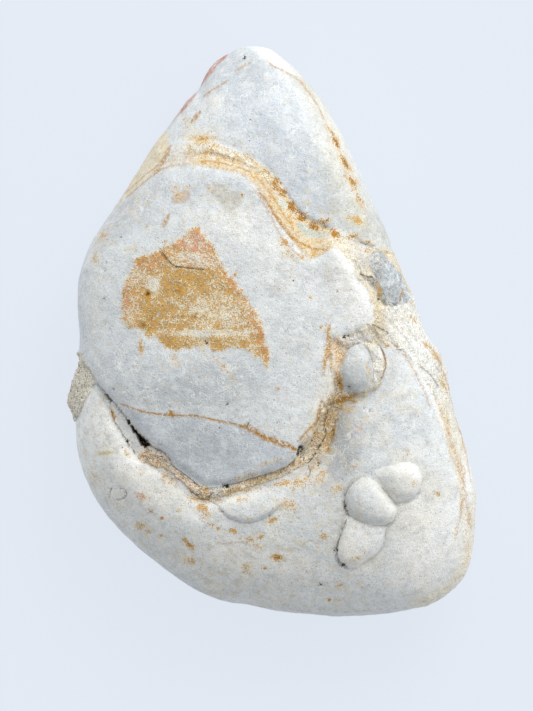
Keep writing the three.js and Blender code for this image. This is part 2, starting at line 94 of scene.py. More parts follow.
# Where forms begin and end. Degrees round the dome:
GROOVE_BEGINS, GROOVE_ENDS = (188, 203), (318, 338)
STEEP_BEGINS, STEEP_ENDS = (15, 50), (195, 215)
FILL_DEEPENS = (288, 308)
# and pixels across the photograph:
ARM_TO_BULGE = (300, 335)
RIDGE_BEGINS, RIDGE_ENDS, RIDGE_LOWEST = (146, 172), (352, 326), 300
CRUST_ENDS = (285, 262)
LAYERS = 4.3                    # onion layers of the ridge

# Soft bumps: height, top, angle, half length and half width.
DOME_BUMPS = [(1.1, (358, 290), -62, 9, 3.2), (-0.25, (328, 300), -75, 9, 3)]
ARM_BUMPS = [
    (1.6, (104, 412), -58, 9, 3.5), (1.5, (99, 450), -54, 12, 3.2), (0.9, (142, 502), -38, 12, 3.6),
]
MATRIX_BUMPS = [
    (-0.7, (350, 368), 90, 9, 6), (1.6, (374, 254), -35, 6, 3), (1.5, (328, 233), -22, 5.5, 2.2),
    (1.0, (378, 332), -40, 4, 2.2), (0.9, (354, 338), 8, 3.4, 1.4),
]
# Pads: highest point, half length and width, angle, height, rounding, what they lie on and how
# far they are let into it.
PADS = {
    "pad_a": ((404, 480), (5.6, 4.4), 10, 2.7, 1.7, "ground", 0),
    "pad_c": ((360, 562), (9.0, 5.4), 75, 3.2, 1.5, "ground", 0),
    "pad_b": ((373, 506), (6.0, 4.4), -50, 3.7, 1.7, "ground", 0),
    "collar": ((358, 368), (30, 30), 0, 1.3, 1.2, "matrix", 0.1),
    "nodule": ((357, 370), (5.6, 3.6), 100, 2.0, 1.9, "matrix", 0.1),
    "stone": ((392, 279), (6.6, 4.0), -58, 1.0, 2.4, "matrix", 0.2),
    "lens": ((252, 511), (8.0, 3.4), 8, 1.2, 0.8, "ground", 0.3),
    "sliver": ((120, 425), (30, 30), 0, 0.9, 0.9, "sliver", 0),
}
# Outlines whose edges crumble: along the groove only, and all round.
GROOVE_EDGES = ("dome", "lower", "groove")
BROKEN_EDGES = ("stone", "corner", "crack", "nub", "matrix")

# ------------------------------------------------------------------ outlines, pixels

# "round" is the dome without its corners: forms fall away by their distance from it.
OUTLINES = {
    "rim": [
        (257, 47), (271, 51), (290, 66), (304, 80), (319, 99), (330, 117), (343, 140), (356, 166),
        (368, 193), (378, 215), (388, 238), (392, 251), (402, 274), (410, 292), (419, 320),
        (427, 337), (438, 352), (444, 367), (450, 396), (456, 420), (464, 443), (470, 467),
        (475, 490), (476, 504), (475, 528), (472, 552), (466, 572), (452, 590), (430, 604),
        (400, 612), (370, 616), (340, 617), (300, 614), (273, 611), (245, 605), (225, 602),
        (202, 594), (178, 580), (154, 562), (130, 542), (109, 521), (93, 499), (82, 475), (75, 449),
        (73, 428), (72, 419), (67, 407), (66.5, 397), (71, 380), (75, 368), (76.5, 356), (77, 336),
        (75, 308), (77, 276), (87, 247), (98, 228), (110, 211), (125, 188), (139, 166), (152, 145),
        (170, 122), (185, 102), (197, 90), (205, 74), (214, 63), (229, 53), (242, 48),
    ],
    "dome": [
        (111, 206), (132, 194), (152, 178), (170, 170), (188, 166.5), (213, 170), (238, 176),
        (251, 185), (262, 196), (273, 215), (284, 232), (297, 249), (310, 259), (322, 255),
        (332, 249.5), (341, 254), (349, 265), (356, 280), (366, 295), (372, 311), (370, 322),
        (363, 329), (352, 332), (341, 337), (329, 340), (327, 350), (329, 366), (331.5, 385),
        (329, 400), (318, 420), (310, 438), (300, 453), (284, 467), (260, 476), (238, 483),
        (217, 487), (203, 487.5), (191, 479.5), (173, 465.5), (166, 457), (158, 451), (148, 444),
        (136, 430), (124, 416), (110, 399), (99, 387), (84, 366), (66, 345), (50, 300), (52, 250),
        (80, 215),
    ],
    "round": [
        (111, 206), (132, 194), (152, 178), (170, 170), (188, 166.5), (213, 169), (236, 175),
        (251, 185), (263, 197), (274, 214), (286, 235), (301, 260), (317, 290), (328, 320),
        (333, 350), (333, 378), (328, 403), (317, 426), (303, 449), (284, 467), (260, 478),
        (236, 486), (203, 489), (183, 476), (159, 453), (136, 431), (110, 400), (84, 366),
        (60, 330), (48, 285), (58, 240), (84, 215),
    ],
    "upper": [
        (158, 152), (185, 145.5), (209, 144), (225, 148.5), (241, 156), (253, 162), (265, 170),
        (273, 181), (285, 197), (297, 213), (309, 222), (324, 228), (340, 237), (355, 241),
        (371, 249), (388, 254), (420, 246), (392, 195), (346, 110), (305, 50), (262, 25), (222, 38),
        (190, 80), (160, 118), (140, 140),
    ],
    "lower": [
        (66, 416), (75, 406), (84, 394), (93, 386), (99, 390), (106, 399), (109, 408), (113, 419),
        (119, 430), (125, 441), (131, 450), (137, 456), (148, 465), (165, 471), (180, 481),
        (193, 493), (207, 498.5), (231, 491.5), (262, 481), (286, 473), (301, 466.5), (312, 460),
        (322, 452), (331, 440), (334, 424), (341, 410), (352, 402), (368, 396), (380, 384),
        (386, 370), (382, 352), (378, 335), (390, 310), (440, 310), (500, 400), (520, 480),
        (510, 600), (430, 650), (250, 650), (150, 610), (60, 520), (40, 450),
    ],
    "sliver": [
        (107, 399), (112, 405), (118, 412), (124, 420), (130, 430), (136, 440), (142, 450),
        (137, 456), (130.5, 449), (125, 441), (119, 430), (113, 419), (109, 410), (106, 403),
    ],
    "crack": [
        (127, 420), (131, 425.5), (135.5, 431), (140, 436), (144.5, 440), (148.5, 444), (147, 447),
        (143.5, 448), (139.5, 443), (135.5, 436.5), (131.5, 429), (128.5, 424),
    ],
    "nodule": [
        (357, 344), (350, 347), (344, 354), (340, 364), (338.5, 375), (340, 386), (346, 393),
        (353, 395), (361, 391), (369, 384), (372, 375), (371, 364), (368, 353), (363, 346),
    ],
    "collar": [
        (356, 344), (366, 343), (376, 347), (382, 357), (384, 368), (382, 378), (376, 386),
        (367, 392), (357, 396), (352, 390), (356, 375), (356, 355),
    ],
    "pad_a": [
        (392, 465), (402, 462.5), (411, 464), (418, 470), (421, 479), (419, 489), (414, 496),
        (405, 501), (396, 501), (388, 497), (378, 487), (370, 477), (375, 470), (383, 467),
    ],
    "pad_b": [
        (366, 477), (356, 480), (347, 487), (343, 497), (344, 507), (349, 515), (358, 521),
        (368, 524), (378, 525), (388, 524), (394, 518), (396.5, 510), (391, 501), (384, 491),
        (376, 482),
    ],
    "pad_c": [
        (345, 516), (341, 528), (338, 541), (335, 551), (337, 560), (344, 566), (354, 567),
        (365, 560), (375, 553), (381, 545), (383, 534), (385, 524), (370, 518),
    ],
    "lens": [
        (215, 503), (220, 511), (228, 517), (239, 521), (249, 522), (260, 518), (268, 514),
        (276, 509), (283, 502), (285, 494), (279, 489), (262, 492), (240, 496), (225, 500),
    ],
    "nub": [
        (84, 362), (77, 352), (74, 364), (69, 374), (64, 388), (62, 402), (66, 414), (73, 421),
        (79, 411), (84, 399), (91, 389), (93, 382), (90, 372),
    ],
    "stone": [
        (371, 252), (378, 253), (386, 258.5), (392, 266), (398, 274), (403, 282), (407.5, 290),
        (409, 298), (406, 303.5), (398, 306), (390, 305), (384, 301), (380.5, 293), (378.5, 284),
        (375, 276), (370, 268), (368, 260),
    ],
    "corner": [
        (358, 275), (368, 277.5), (377, 282), (384, 296), (389, 305), (383, 306), (376, 298),
        (369, 287), (362, 279.5),
    ],
    "groove": [
        (142, 450), (147, 445), (153, 449.5), (160, 452.5), (166, 457), (170, 463), (179, 471),
        (187, 477), (194, 482), (199, 486.5), (208, 488), (222, 486.5), (238, 482.5), (260, 475.5),
        (283, 466.5), (297, 455), (308, 441), (314, 426), (318, 411), (326, 397), (334, 393),
        (345, 398), (343, 405), (339, 412), (335, 425), (331, 440), (322, 453), (312, 461),
        (301, 467.5), (286, 474), (262, 482), (231, 492.5), (207, 499), (199, 498), (193, 493),
        (186, 486), (179, 480), (168, 471.5), (155, 467.5), (148, 465), (141, 460.5), (136.5, 456),
    ],
    "matrix": [
        (333, 238), (352, 243), (370, 249), (390, 252), (405, 262), (425, 300), (450, 345),
        (462, 400), (462, 432), (450, 430), (436, 408), (428, 388), (420, 372), (408, 358),
        (396, 350), (385, 346), (376, 349), (382, 360), (384, 370), (380, 384), (366, 394),
        (352, 400), (342, 405), (333, 400), (333, 385), (330, 366), (327, 350), (330, 340),
        (342, 337), (353, 332), (364, 329), (371, 322), (372, 311), (366, 295), (356, 280),
        (349, 265), (341, 254),
    ],
    "rust": [
        (195, 227), (182, 236), (162, 249), (149, 255), (136, 259), (129, 272), (121, 289),
        (119.5, 313), (125, 328), (136, 331), (147, 334), (157, 343), (170, 348), (186, 350),
        (200, 350), (216, 352), (232, 351), (246, 353), (258, 360), (268, 366), (271, 356),
        (266, 334), (256, 313), (243, 294), (230, 279), (221, 265), (216, 253), (206, 238),
    ],
    "crescent_a": [
        (228, 53), (222, 54), (214, 60), (206, 70), (201, 79), (200, 85), (204, 82), (209, 76),
        (215, 68.5), (221, 61), (225, 57),
    ],
    "crescent_b": [
        (195, 91), (190, 95), (184, 102), (176, 112), (168, 123), (172, 121), (178, 116),
        (184, 110), (190, 103), (194, 97),
    ],
    "side_facet": [
        (164, 131), (154, 140), (142, 158), (130, 178), (118, 196), (110, 210), (120, 203),
        (132, 193), (143, 184), (152, 177), (158, 166), (163, 156), (168, 147), (169, 138),
    ],
    "tan_patch": [
        (204, 187), (215.5, 184), (229, 190), (241, 196.5), (241, 204.5), (231, 213), (224, 212),
        (215.5, 200), (207, 193),
    ],
    "pink_patch": [
        (172, 197), (180, 194), (188, 193), (189, 200), (181, 204.5), (172, 204.5), (171, 200),
    ],
    "glass_a": [
        (276, 200), (279, 199), (283, 202), (286, 207), (284, 211), (280, 209), (277, 205),
    ],
    "glass_b": [
        (296, 226), (299, 223), (304, 226), (310, 230), (317, 232), (326, 234), (330, 238),
        (322, 240), (312, 240), (305, 239), (300, 235), (297, 231),
    ],
    "facet": [
        (119, 403), (134, 409), (150, 413), (170, 415), (195, 416), (215, 420), (235, 424),
        (248, 428), (262, 436), (275, 441), (290, 447), (296, 452), (285, 468), (260, 478),
        (236, 486), (203, 489), (183, 476), (159, 453), (136, 431),
    ],
}
# Millimetres past an outline's box within which its distance is still worked out.
REACH = 3.0
FAR_REACH = {"dome": 200, "round": 200, "rim": 60, "lower": 12, "rust": 8, "matrix": 6}


# ------------------------------------------------------------------ curves and fields

def plan(points):
    """Photograph pixels to millimetres across and along the stone."""
    p = np.asarray(points, float)
    return np.stack([p[..., 0] - MIDDLE_PX[0], MIDDLE_PX[1] - p[..., 1]], -1) * PX_MM


def pixel(x, y):
    """The other way round."""
    return x / PX_MM + MIDDLE_PX[0], MIDDLE_PX[1] - y / PX_MM


def smooth_line(points, closed=True, steps=4):
    """Smooth curve through points, in millimetres."""
    p = plan(points)
    count = len(p)
    spans = range(count) if closed else range(count - 1)
    line = []
    for i in spans:
        near = [i + k for k in (-1, 0, 1, 2)]
        near = [k % count if closed else min(max(k, 0), count - 1) for k in near]
        p0, p1, p2, p3 = p[near]
        bend = 2 * p0 - 5 * p1 + 4 * p2 - p3
        twist = 3 * p1 - p0 - 3 * p2 + p3
        for t in np.arange(steps) / steps:
            line.append(0.5 * (2 * p1 + (p2 - p0) * t + bend * t ** 2 + twist * t ** 3))
    if not closed:
        line.append(p[-1])
    return np.array(line)


def smoothstep(low, high, value):
    t = np.clip((value - low) / (high - low), 0, 1)
    return t * t * (3 - 2 * t)


def smooth_max(a, b, k):
    """Larger of two heights, the crease between them rounded over k."""
    h = np.clip(0.5 + 0.5 * (a - b) / k, 0, 1)
    return b * (1 - h) + a * h + k * h * (1 - h)


def quarter(t):
    """Quarter ellipse, from 0 at an edge to 1 a full width in."""
    return np.sqrt(np.maximum(0, 1 - (1 - np.clip(t, 0, 1)) ** 2))


def crown(x, y, top_px, top, angle, along, across):
    """Height falling from a top by along and across, millimetres at 10 mm from it."""
    cx, cy = plan(top_px)
    c, s = math.cos(math.radians(angle)), math.sin(math.radians(angle))
    u = ((x - cx) * c + (y - cy) * s) / 10
    v = ((y - cy) * c - (x - cx) * s) / 10
    return top - along * u * u - across * v * v


def swelling(x, y, top_px, angle, half_along, half_across):
    """Soft round bump of height 1."""
    return np.exp(crown(x, y, top_px, 0, angle, 100 / half_along ** 2, 100 / half_across ** 2))


def with_bumps(form, x, y, bumps):
    for height, *place in bumps:
        form = form + height * swelling(x, y, *place)
    return form


def near_segment(x, y, a, b):
    """Squared distance to a segment, and how far along it."""
    dx, dy = b - a
    t = np.clip(((x - a[0]) * dx + (y - a[1]) * dy) / (dx * dx + dy * dy + 1e-12), 0, 1)
    return (x - a[0] - t * dx) ** 2 + (y - a[1] - t * dy) ** 2, t


def near_box(x, y, line, reach):
    """Which points lie in the box round a curve, and those points."""
    low, high = line.min(0) - reach, line.max(0) + reach
    near = (x > low[0]) & (x < high[0]) & (y > low[1]) & (y < high[1])
    return near, x[near], y[near]


def depth(x, y, loop, reach):
    """Distance to a closed curve, positive inside it; -99 beyond reach of its box."""
    near, px, py = near_box(x, y, loop, reach)
    best = np.full(px.shape, 1e9)
    inside = np.zeros(px.shape, bool)
    for a, b in zip(loop, np.roll(loop, -1, 0)):
        np.minimum(best, near_segment(px, py, a, b)[0], out=best)
        if a[1] != b[1]:
            crossing = (b[0] - a[0]) * (py - a[1]) / (b[1] - a[1]) + a[0]
            inside ^= ((a[1] > py) != (b[1] > py)) & (px < crossing)
    out = np.full(x.shape, -99.0)
    out[near] = np.where(inside, 1, -1) * np.sqrt(best)
    return out


def along_line(x, y, line):
    """Signed side of an open curve, distance to it and share of the way along it."""
    near, px, py = near_box(x, y, line, REACH)
    best = np.full(px.shape, 1e9)
    side = np.zeros(px.shape)
    where = np.zeros(px.shape)
    for i, (a, b) in enumerate(zip(line[:-1], line[1:])):
        d, t = near_segment(px, py, a, b)
        closer = d < best
        best = np.where(closer, d, best)
        cross = (b[0] - a[0]) * (py - a[1]) - (b[1] - a[1]) * (px - a[0])
        side = np.where(closer, np.sign(cross), side)
        where = np.where(closer, (i + t) / (len(line) - 1), where)
    result = [np.full(x.shape, v) for v in (9.0, 9.0, 0.0)]
    result[0][near] = side * np.sqrt(best)
    result[1][near] = np.sqrt(best)
    result[2][near] = where
    return result


def grain(points, size, seed):
    """Smooth random field from -1 to 1 with lumps of the given size, millimetres."""
    p = points / size
    cell = np.floor(p)
    f = p - cell
    f = f * f * f * (f * (f * 6 - 15) + 10)
    c = cell.astype(np.int64)
    total = 0
    for k in range(8):
        corner = np.array([k & 1, (k >> 1) & 1, k >> 2])
        q = (c + corner).astype(np.uint32)
        h = q[:, 0] * np.uint32(374761393) + q[:, 1] * np.uint32(668265263)
        h = h + q[:, 2] * np.uint32(2246822519) + np.uint32(seed * 97 + 13)
        h = (h ^ (h >> np.uint32(13))) * np.uint32(1274126177)
        h = (h ^ (h >> np.uint32(16))) * np.uint32(2654435769)
        value = (h >> np.uint32(8)).astype(float) / 2 ** 23 - 1
        weight = np.prod(np.where(corner == 1, f, 1 - f), axis=1)
        total = total + value * weight
    return total


def rough(points, size, seed, octaves=3):
    """Sum of grains, each half the size and half the height of the one before."""
    return sum(grain(points, size / 2 ** k, seed + 31 * k) / 2 ** k for k in range(octaves))


# ------------------------------------------------------------------ the body of the stone

class Body:
    """Reach of the rim from the middle in every direction, sharp and smoothed."""

    RAYS = 1440
    SMOOTHING = 14.0            # degrees

    def __init__(self):
        rim = smooth_line(OUTLINES["rim"], steps=8)
        self.shift = -(rim.min(0) + rim.max(0)) / 2
        angle = np.arctan2(rim[:, 1] - CENTRE[1], rim[:, 0] - CENTRE[0])
        reach = np.hypot(rim[:, 0] - CENTRE[0], rim[:, 1] - CENTRE[1])
        order = np.argsort(angle)
        self.angles = np.linspace(-math.pi, math.pi, self.RAYS, endpoint=False)
        self.sharp = np.interp(self.angles, angle[order], reach[order], period=2 * math.pi)
        step = 360 / self.RAYS
        offsets = np.arange(-int(40 / step), int(40 / step) + 1)
        weights = np.exp(-0.5 * (offsets * step / self.SMOOTHING) ** 2)
        turned = sum(w * np.roll(self.sharp, k) for k, w in zip(offsets, weights))
        self.smooth = turned / weights.sum()

    def reach(self, angle):
        return (np.interp(angle, self.angles, self.sharp, period=2 * math.pi),
                np.interp(angle, self.angles, self.smooth, period=2 * math.pi))

    def place(self, outwards, angle):
        """Plan point at a share of the way out, in a direction."""
        sharp, smooth = self.reach(angle)
        r = outwards * sharp
        for _ in range(12):
            f = np.clip(r / sharp, 0, 1) ** 5
            r = outwards * (smooth * (1 - f) + sharp * f)
        return CENTRE[0] + r * np.cos(angle), CENTRE[1] + r * np.sin(angle)


def fullness(outwards, angle):
    """How much of its height a lobe keeps as it rounds over to the waist."""
    blunt = 5.0 + 0.6 * np.cos(angle - 0.44) + 4.2 * np.exp(-(((angle - 1.08) / 0.5) ** 2))
    blunt = blunt + 0.8 * np.exp(-(((angle + 2.45) / 0.45) ** 2))
    return np.sqrt(np.maximum(0, 1 - outwards ** blunt))


def waist_at(x, y):
    return WAIST + 0.7 * np.sin(0.055 * x + 0.8) + 0.6 * np.sin(0.045 * y - 0.9)


def bearing(x, y):
    """Direction round the middle of the dome, degrees from +X."""
    cx, cy = plan(DOME_MIDDLE)
    return np.degrees(np.arctan2(y - cy, x - cx)) % 360


def edge_of(d, drop, width):
    return np.where(d > 0, drop * (quarter(d / width) - 1), -30)


def pad(d, x, y, top_px, half, angle, height, width, base):
    """A pad on the surface under it, rounded like an ellipse about its highest point."""
    q = -crown(x, y, top_px, 0, angle, 100 / half[0] ** 2, 100 / half[1] ** 2)
    shape = base + height * np.sqrt(np.maximum(0.12, 1 - 0.9 * q)) * quarter(d / width)
    return np.where(d > 0, shape, -50)


def depths(x, y, groove):
    """Distance inside every outline, with crumbly edges where the stone is broken."""
    d = {name: depth(x, y, smooth_line(loop), FAR_REACH.get(name, REACH))
         for name, loop in OUTLINES.items()}
    crumbly = 0.20 * rough(np.stack([x, y, 0 * x], 1), 1.5, 61, 3)
    for names, share in ((GROOVE_EDGES, groove), (BROKEN_EDGES, 1)):
        for name in names:
            d[name] = d[name] + crumbly * share * smoothstep(2.0, 0.5, np.abs(d[name]))
    return d


def dome_form(x, y, d, groove):
    """The dome and its shoulder, cut by the facet; its edge is soft above, sharp at the groove."""
    dome = with_bumps(crown(x, y, DOME_PEAK, DOME_TOP, 58, 0.10, 0.20), x, y, DOME_BUMPS)
    (ax, ay), (bx, by) = plan(FACET_LINE)
    below = ((x - ax) * (by - ay) - (y - ay) * (bx - ax)) / math.hypot(bx - ax, by - ay)
    dome = -smooth_max(-dome, -(FACET_TOP - 0.25 * below), 1.0)
    soft = -0.16 * np.maximum(0, 1.6 - d["dome"]) ** 2
    sharp = np.where(d["dome"] > 0, 2.2 * (quarter(d["dome"] / 2.0) - 1), -8)
    return dome + soft * (1 - groove) + sharp * groove


def lower_form(x, y, px, d, out):
    """The lower lobe: an arm round the dome, and the bulge at its right."""
    right = smoothstep(*ARM_TO_BULGE, px)
    arm = ARM_TOP + 2.2 * (1 - np.exp(-out / 4.0)) - 0.011 * out ** 2
    arm = with_bumps(arm, x, y, ARM_BUMPS)
    bulge = crown(x, y, BULGE_PEAK, BULGE_TOP, -62, 0.34, 0.62)
    return smooth_max(arm, bulge, 2) + edge_of(d["lower"], 1.9 + 0.6 * right, 2.4 + 3.6 * right)


def matrix_form(x, y, px, py, d, out, turn, groove):
    """The rough matrix between the lobes, with the groove, the ridge and the stone's seat."""
    steep = smoothstep(*STEEP_BEGINS, turn) * (1 - smoothstep(*STEEP_ENDS, turn))
    fall = (0.28 + 0.44 * steep) * out + 0.002 * out ** 2
    filled = 2.8 + 1.5 * smoothstep(*FILL_DEEPENS, turn)
    matrix = with_bumps(MATRIX_TOP - filled * groove - fall, x, y, MATRIX_BUMPS)
    matrix = matrix + ridge_layers(px, py, d)
    return matrix - 0.5 * smoothstep(-0.4, 0.4, d["stone"]) - 1.3 * quarter(d["corner"])


def front_form(x, y):
    """Height over the waist before rounding over, and the distances inside the outlines."""
    px, py = pixel(x, y)
    turn = bearing(x, y)
    groove = smoothstep(*GROOVE_BEGINS, turn) * (1 - smoothstep(*GROOVE_ENDS, turn))
    d = depths(x, y, groove)
    out = np.maximum(0, -d["round"])
    dome = dome_form(x, y, d, groove)
    upper = crown(x, y, UPPER_PEAK, UPPER_TOP, 62, 0.05, 0.20) + edge_of(d["upper"], 1.0, 1.0)
    lower = lower_form(x, y, px, d, out)
    matrix = matrix_form(x, y, px, py, d, out, turn, groove)

    shell = np.maximum(smooth_max(lower, matrix, 0.6), upper)
    height = smooth_max(shell, dome, 1.2 * (1 - groove) + 0.01)
    pads = np.maximum.reduce([d["pad_a"], d["pad_b"], d["pad_c"]])
    height = height - 0.35 * np.exp(-(np.minimum(0, pads) / 0.45) ** 2)
    under = {"ground": np.maximum(lower, matrix), "matrix": matrix, "sliver": SLIVER_LEVEL + 0 * x}
    for name, (top_px, half, angle, tall, width, on, sunk) in PADS.items():
        shape = pad(d[name], x, y, top_px, half, angle, tall, width, under[on] - sunk)
        height = np.maximum(height, shape)
    slot = SLOT_TOP - SLOT_DEPTH * quarter(d["crack"] / 0.35)
    return np.where(d["crack"] > 0, np.minimum(height, slot), height), d


def between_lobes(px, py, d):
    """Share of the way over the ridge, 0 at the dome to 1 at the upper lobe, and where it is."""
    from_dome, from_upper = np.maximum(0, -d["dome"]), np.maximum(0, -d["upper"])
    share = from_dome / (from_dome + from_upper + 0.05)
    there = smoothstep(-0.25, 0.25, -d["dome"]) * smoothstep(-0.15, 0.15, -d["upper"])
    there = there * smoothstep(*RIDGE_BEGINS, px) * smoothstep(*RIDGE_ENDS, px)
    there = there * (py < RIDGE_LOWEST)
    return share, there * smoothstep(7.0, 5.0, from_dome)


def ridge_layers(px, py, d):
    """The ridge over the dome: onion-like layers, then a crust that overhangs the upper lobe."""
    share, there = between_lobes(px, py, d)
    crust = smoothstep(0.45, 0.65, share) * smoothstep(*CRUST_ENDS, px)
    steps = 0.30 * (quarter((share * LAYERS) % 1.0) - 0.6) * smoothstep(0.02, 0.1, share)
    return there * (steps * (1 - crust) + 0.9 * crust)


def back_height(x, y, outwards):
    """The back is a plain low crown, cut off by the flat spot it rests on."""
    lobes = BACK_CROWN - 0.00004 * (x * x + 0.5 * y * y)
    lobes = lobes - 0.08 * swelling(x, y, (379, 192), -58, 30, 4)
    lobes = lobes - 0.07 * swelling(x, y, (153, 493), 40, 26, 4)
    return waist_at(x, y) * (1 - np.minimum(1, np.sqrt(1 - outwards ** 2.7) * lobes))


# ------------------------------------------------------------------ mesh

def disc_grid(body, cells, rim_share):
    """Points of a grid of cells pressed into the outline: plan, share outwards, direction."""
    nx, ny = cells
    a, b = np.meshgrid(np.linspace(-1, 1, nx + 1), np.linspace(-1, 1, ny + 1), indexing="ij")
    wide = np.abs(a) >= np.abs(b)
    big = np.where(wide, a, b)
    small = np.where(wide, b, a)
    turn = math.pi / 4 * small / np.where(big == 0, 1, big)
    disc_angle = np.where(wide, turn, math.pi / 2 - turn) + np.where(big < 0, math.pi, 0)
    inwards = 1 - np.abs(big)
    outwards = 1 - (1 + rim_share) * inwards ** 2 / (inwards + rim_share)
    angle = np.arctan2(HALF_SIZE[1] * np.sin(disc_angle), HALF_SIZE[0] * np.cos(disc_angle))
    x, y = body.place(outwards.ravel(), angle.ravel())
    return x, y, outwards.ravel(), angle.ravel()


def faces_of_front(cells):
    nx, ny = cells
    i, j = np.meshgrid(np.arange(nx), np.arange(ny), indexing="ij")
    corner = (i * (ny + 1) + j).ravel()
    return np.stack([corner, corner + ny + 1, corner + ny + 2, corner + 1], 1)


def faces_of_back(cells, front_cells, first):
    """Back faces, wound the other way, sharing the rim with the front; rim cells take the
    extra rim points of the finer front in."""
    nx, ny = cells
    fine = front_cells[1] + 1

    def vertex(i, j):
        if i in (0, nx) or j in (0, ny):
            return 2 * i * fine + 2 * j
        return first + (i - 1) * (ny - 1) + (j - 1)

    def between(p, q):
        on_rim = all(i in (0, nx) or j in (0, ny) for i, j in (p, q))
        same_side = any(p[k] == q[k] and p[k] in (0, (nx, ny)[k]) for k in (0, 1))
        return [(p[0] + q[0]) * fine + (p[1] + q[1])] if on_rim and same_side else []

    faces = []
    for i in range(nx):
        for j in range(ny):
            loop = [(i, j), (i, j + 1), (i + 1, j + 1), (i + 1, j)]
            face = []
            for p, q in zip(loop, loop[1:] + loop[:1]):
                face += [vertex(*p)] + between(p, q)
            faces.append(face)
    return faces


def vertex_normals(points, quads):
    a, b, c, d = (points[quads[:, k]] for k in range(4))
    face = np.cross(c - a, d - b)
    total = np.zeros_like(points)
    for k in range(4):
        np.add.at(total, quads[:, k], face)
    return total / np.maximum(np.linalg.norm(total, axis=1, keepdims=True), 1e-9)


# ------------------------------------------------------------------ marks, pixels

# Open lines: full width in millimetres, strength, points.
RUST_LINES = {
    "dome_line": (0.34, 0.9, [
        (119, 403), (134, 409), (150, 413), (170, 415), (195, 416), (215, 420), (235, 424),
        (248, 428)]),
    "dome_line_2": (0.95, 1, [
        (240, 426), (250, 429), (262, 436), (275, 441), (288, 446), (294, 449)]),
    "cross_mark": (0.7, 1, [(169, 411), (172, 417)]),
    "upper_arc": (0.36, 0.55, [
        (265, 61), (272, 67), (281, 71), (295, 79), (302, 86), (309, 96), (318, 109), (323, 121)]),
    "upper_left_arc": (0.4, 0.6, [(202, 98), (209, 93), (217, 88), (227, 82)]),
    "upper_left_arc_2": (0.5, 0.45, [(234, 73), (241, 68), (249, 64)]),
    "upper_dash": (0.6, 0.8, [(190, 124), (194, 119), (200, 112)]),
    "left_streak": (0.7, 0.8, [(153, 175), (159, 166), (165, 156), (169, 147)]),
    "red_dash": (0.6, 0.75, [(168, 216), (165, 222), (163, 228)]),
    "nodule_rust": (0.4, 0.8, [(380, 349), (383, 358), (383, 368), (379, 378)]),
    "nodule_foot": (1, 0.9, [(333, 401), (339, 400), (346, 397), (354, 394)]),
    "nodule_left": (0.8, 0.8, [(336, 372), (337, 381), (341, 389)]),
    "dome_right_seam": (0.45, 0.6, [(329, 324), (326, 336), (325, 350), (323, 364), (322, 377)]),
    "dome_right_seam_2": (0.4, 0.7, [(329, 338), (328, 350), (329, 362), (329, 373)]),
    "dome_foot_seam": (0.45, 0.8, [(320, 399), (317, 413), (313, 424), (304, 433), (296, 442)]),
    "ridge_foot": (0.5, 0.9, [
        (256, 191), (263, 200), (271, 213), (280, 226), (290, 238), (300, 245), (312, 250),
        (325, 251)]),
    "ridge_middle": (0.35, 0.6, [
        (196, 163), (213, 163), (232, 168), (248, 174), (259, 183), (270, 197), (281, 214),
        (292, 230)]),
    "ridge_top": (0.35, 0.5, [(190, 158), (205, 154), (222, 157), (238, 163), (252, 169)]),
    "band_edge": (0.4, 0.3, [
        (428, 386), (435, 400), (441, 418), (446, 438), (449, 456), (456, 468), (460, 482),
        (461, 500), (459, 520), (456, 534)]),
    "band_streak": (0.7, 0.42, [
        (446, 428), (450, 442), (455, 456), (461, 470), (463, 489), (467, 508), (470, 528)]),
    "band_outer": (0.35, 0.5, [
        (436, 362), (443, 377), (449, 394), (456, 418), (462, 440), (467, 462), (470, 482)]),
    "ledge": (0.4, 0.6, [(421, 342), (427, 346), (434, 354), (438, 364), (443, 376)]),
    "bulge_edge": (0.35, 0.45, [
        (386, 340), (396, 348), (406, 360), (415, 376), (423, 392), (429, 410)]),
    "corner_gold": (0.4, 0.7, [(374, 284), (377, 290), (377, 297)]),
    "stone_gold": (0.6, 0.7, [(401, 290), (399, 297), (401, 302)]),
    "sliver_rust": (0.5, 0.9, [(110, 410), (113, 417), (113, 421)]),
    "rim_dash": (0.5, 0.8, [(433, 491), (438, 495)]),
    "lower_hair": (0.26, 0.4, [(214, 541), (226, 543), (238, 541), (250, 544), (259, 543)]),
    "lower_hair_2": (0.26, 0.3, [(300, 545), (307, 540), (318, 541), (326, 536)]),
    "dome_layers": (0.22, 0.45, [
        (246, 184), (256, 196), (265, 211), (276, 231), (289, 249), (303, 261)]),
    "left_layers": (0.24, 0.6, [(186, 166), (168, 168), (152, 176), (138, 188), (124, 199)]),
    "left_layers_2": (0.24, 0.5, [(180, 161), (164, 164), (150, 171), (137, 182), (122, 195)]),
}
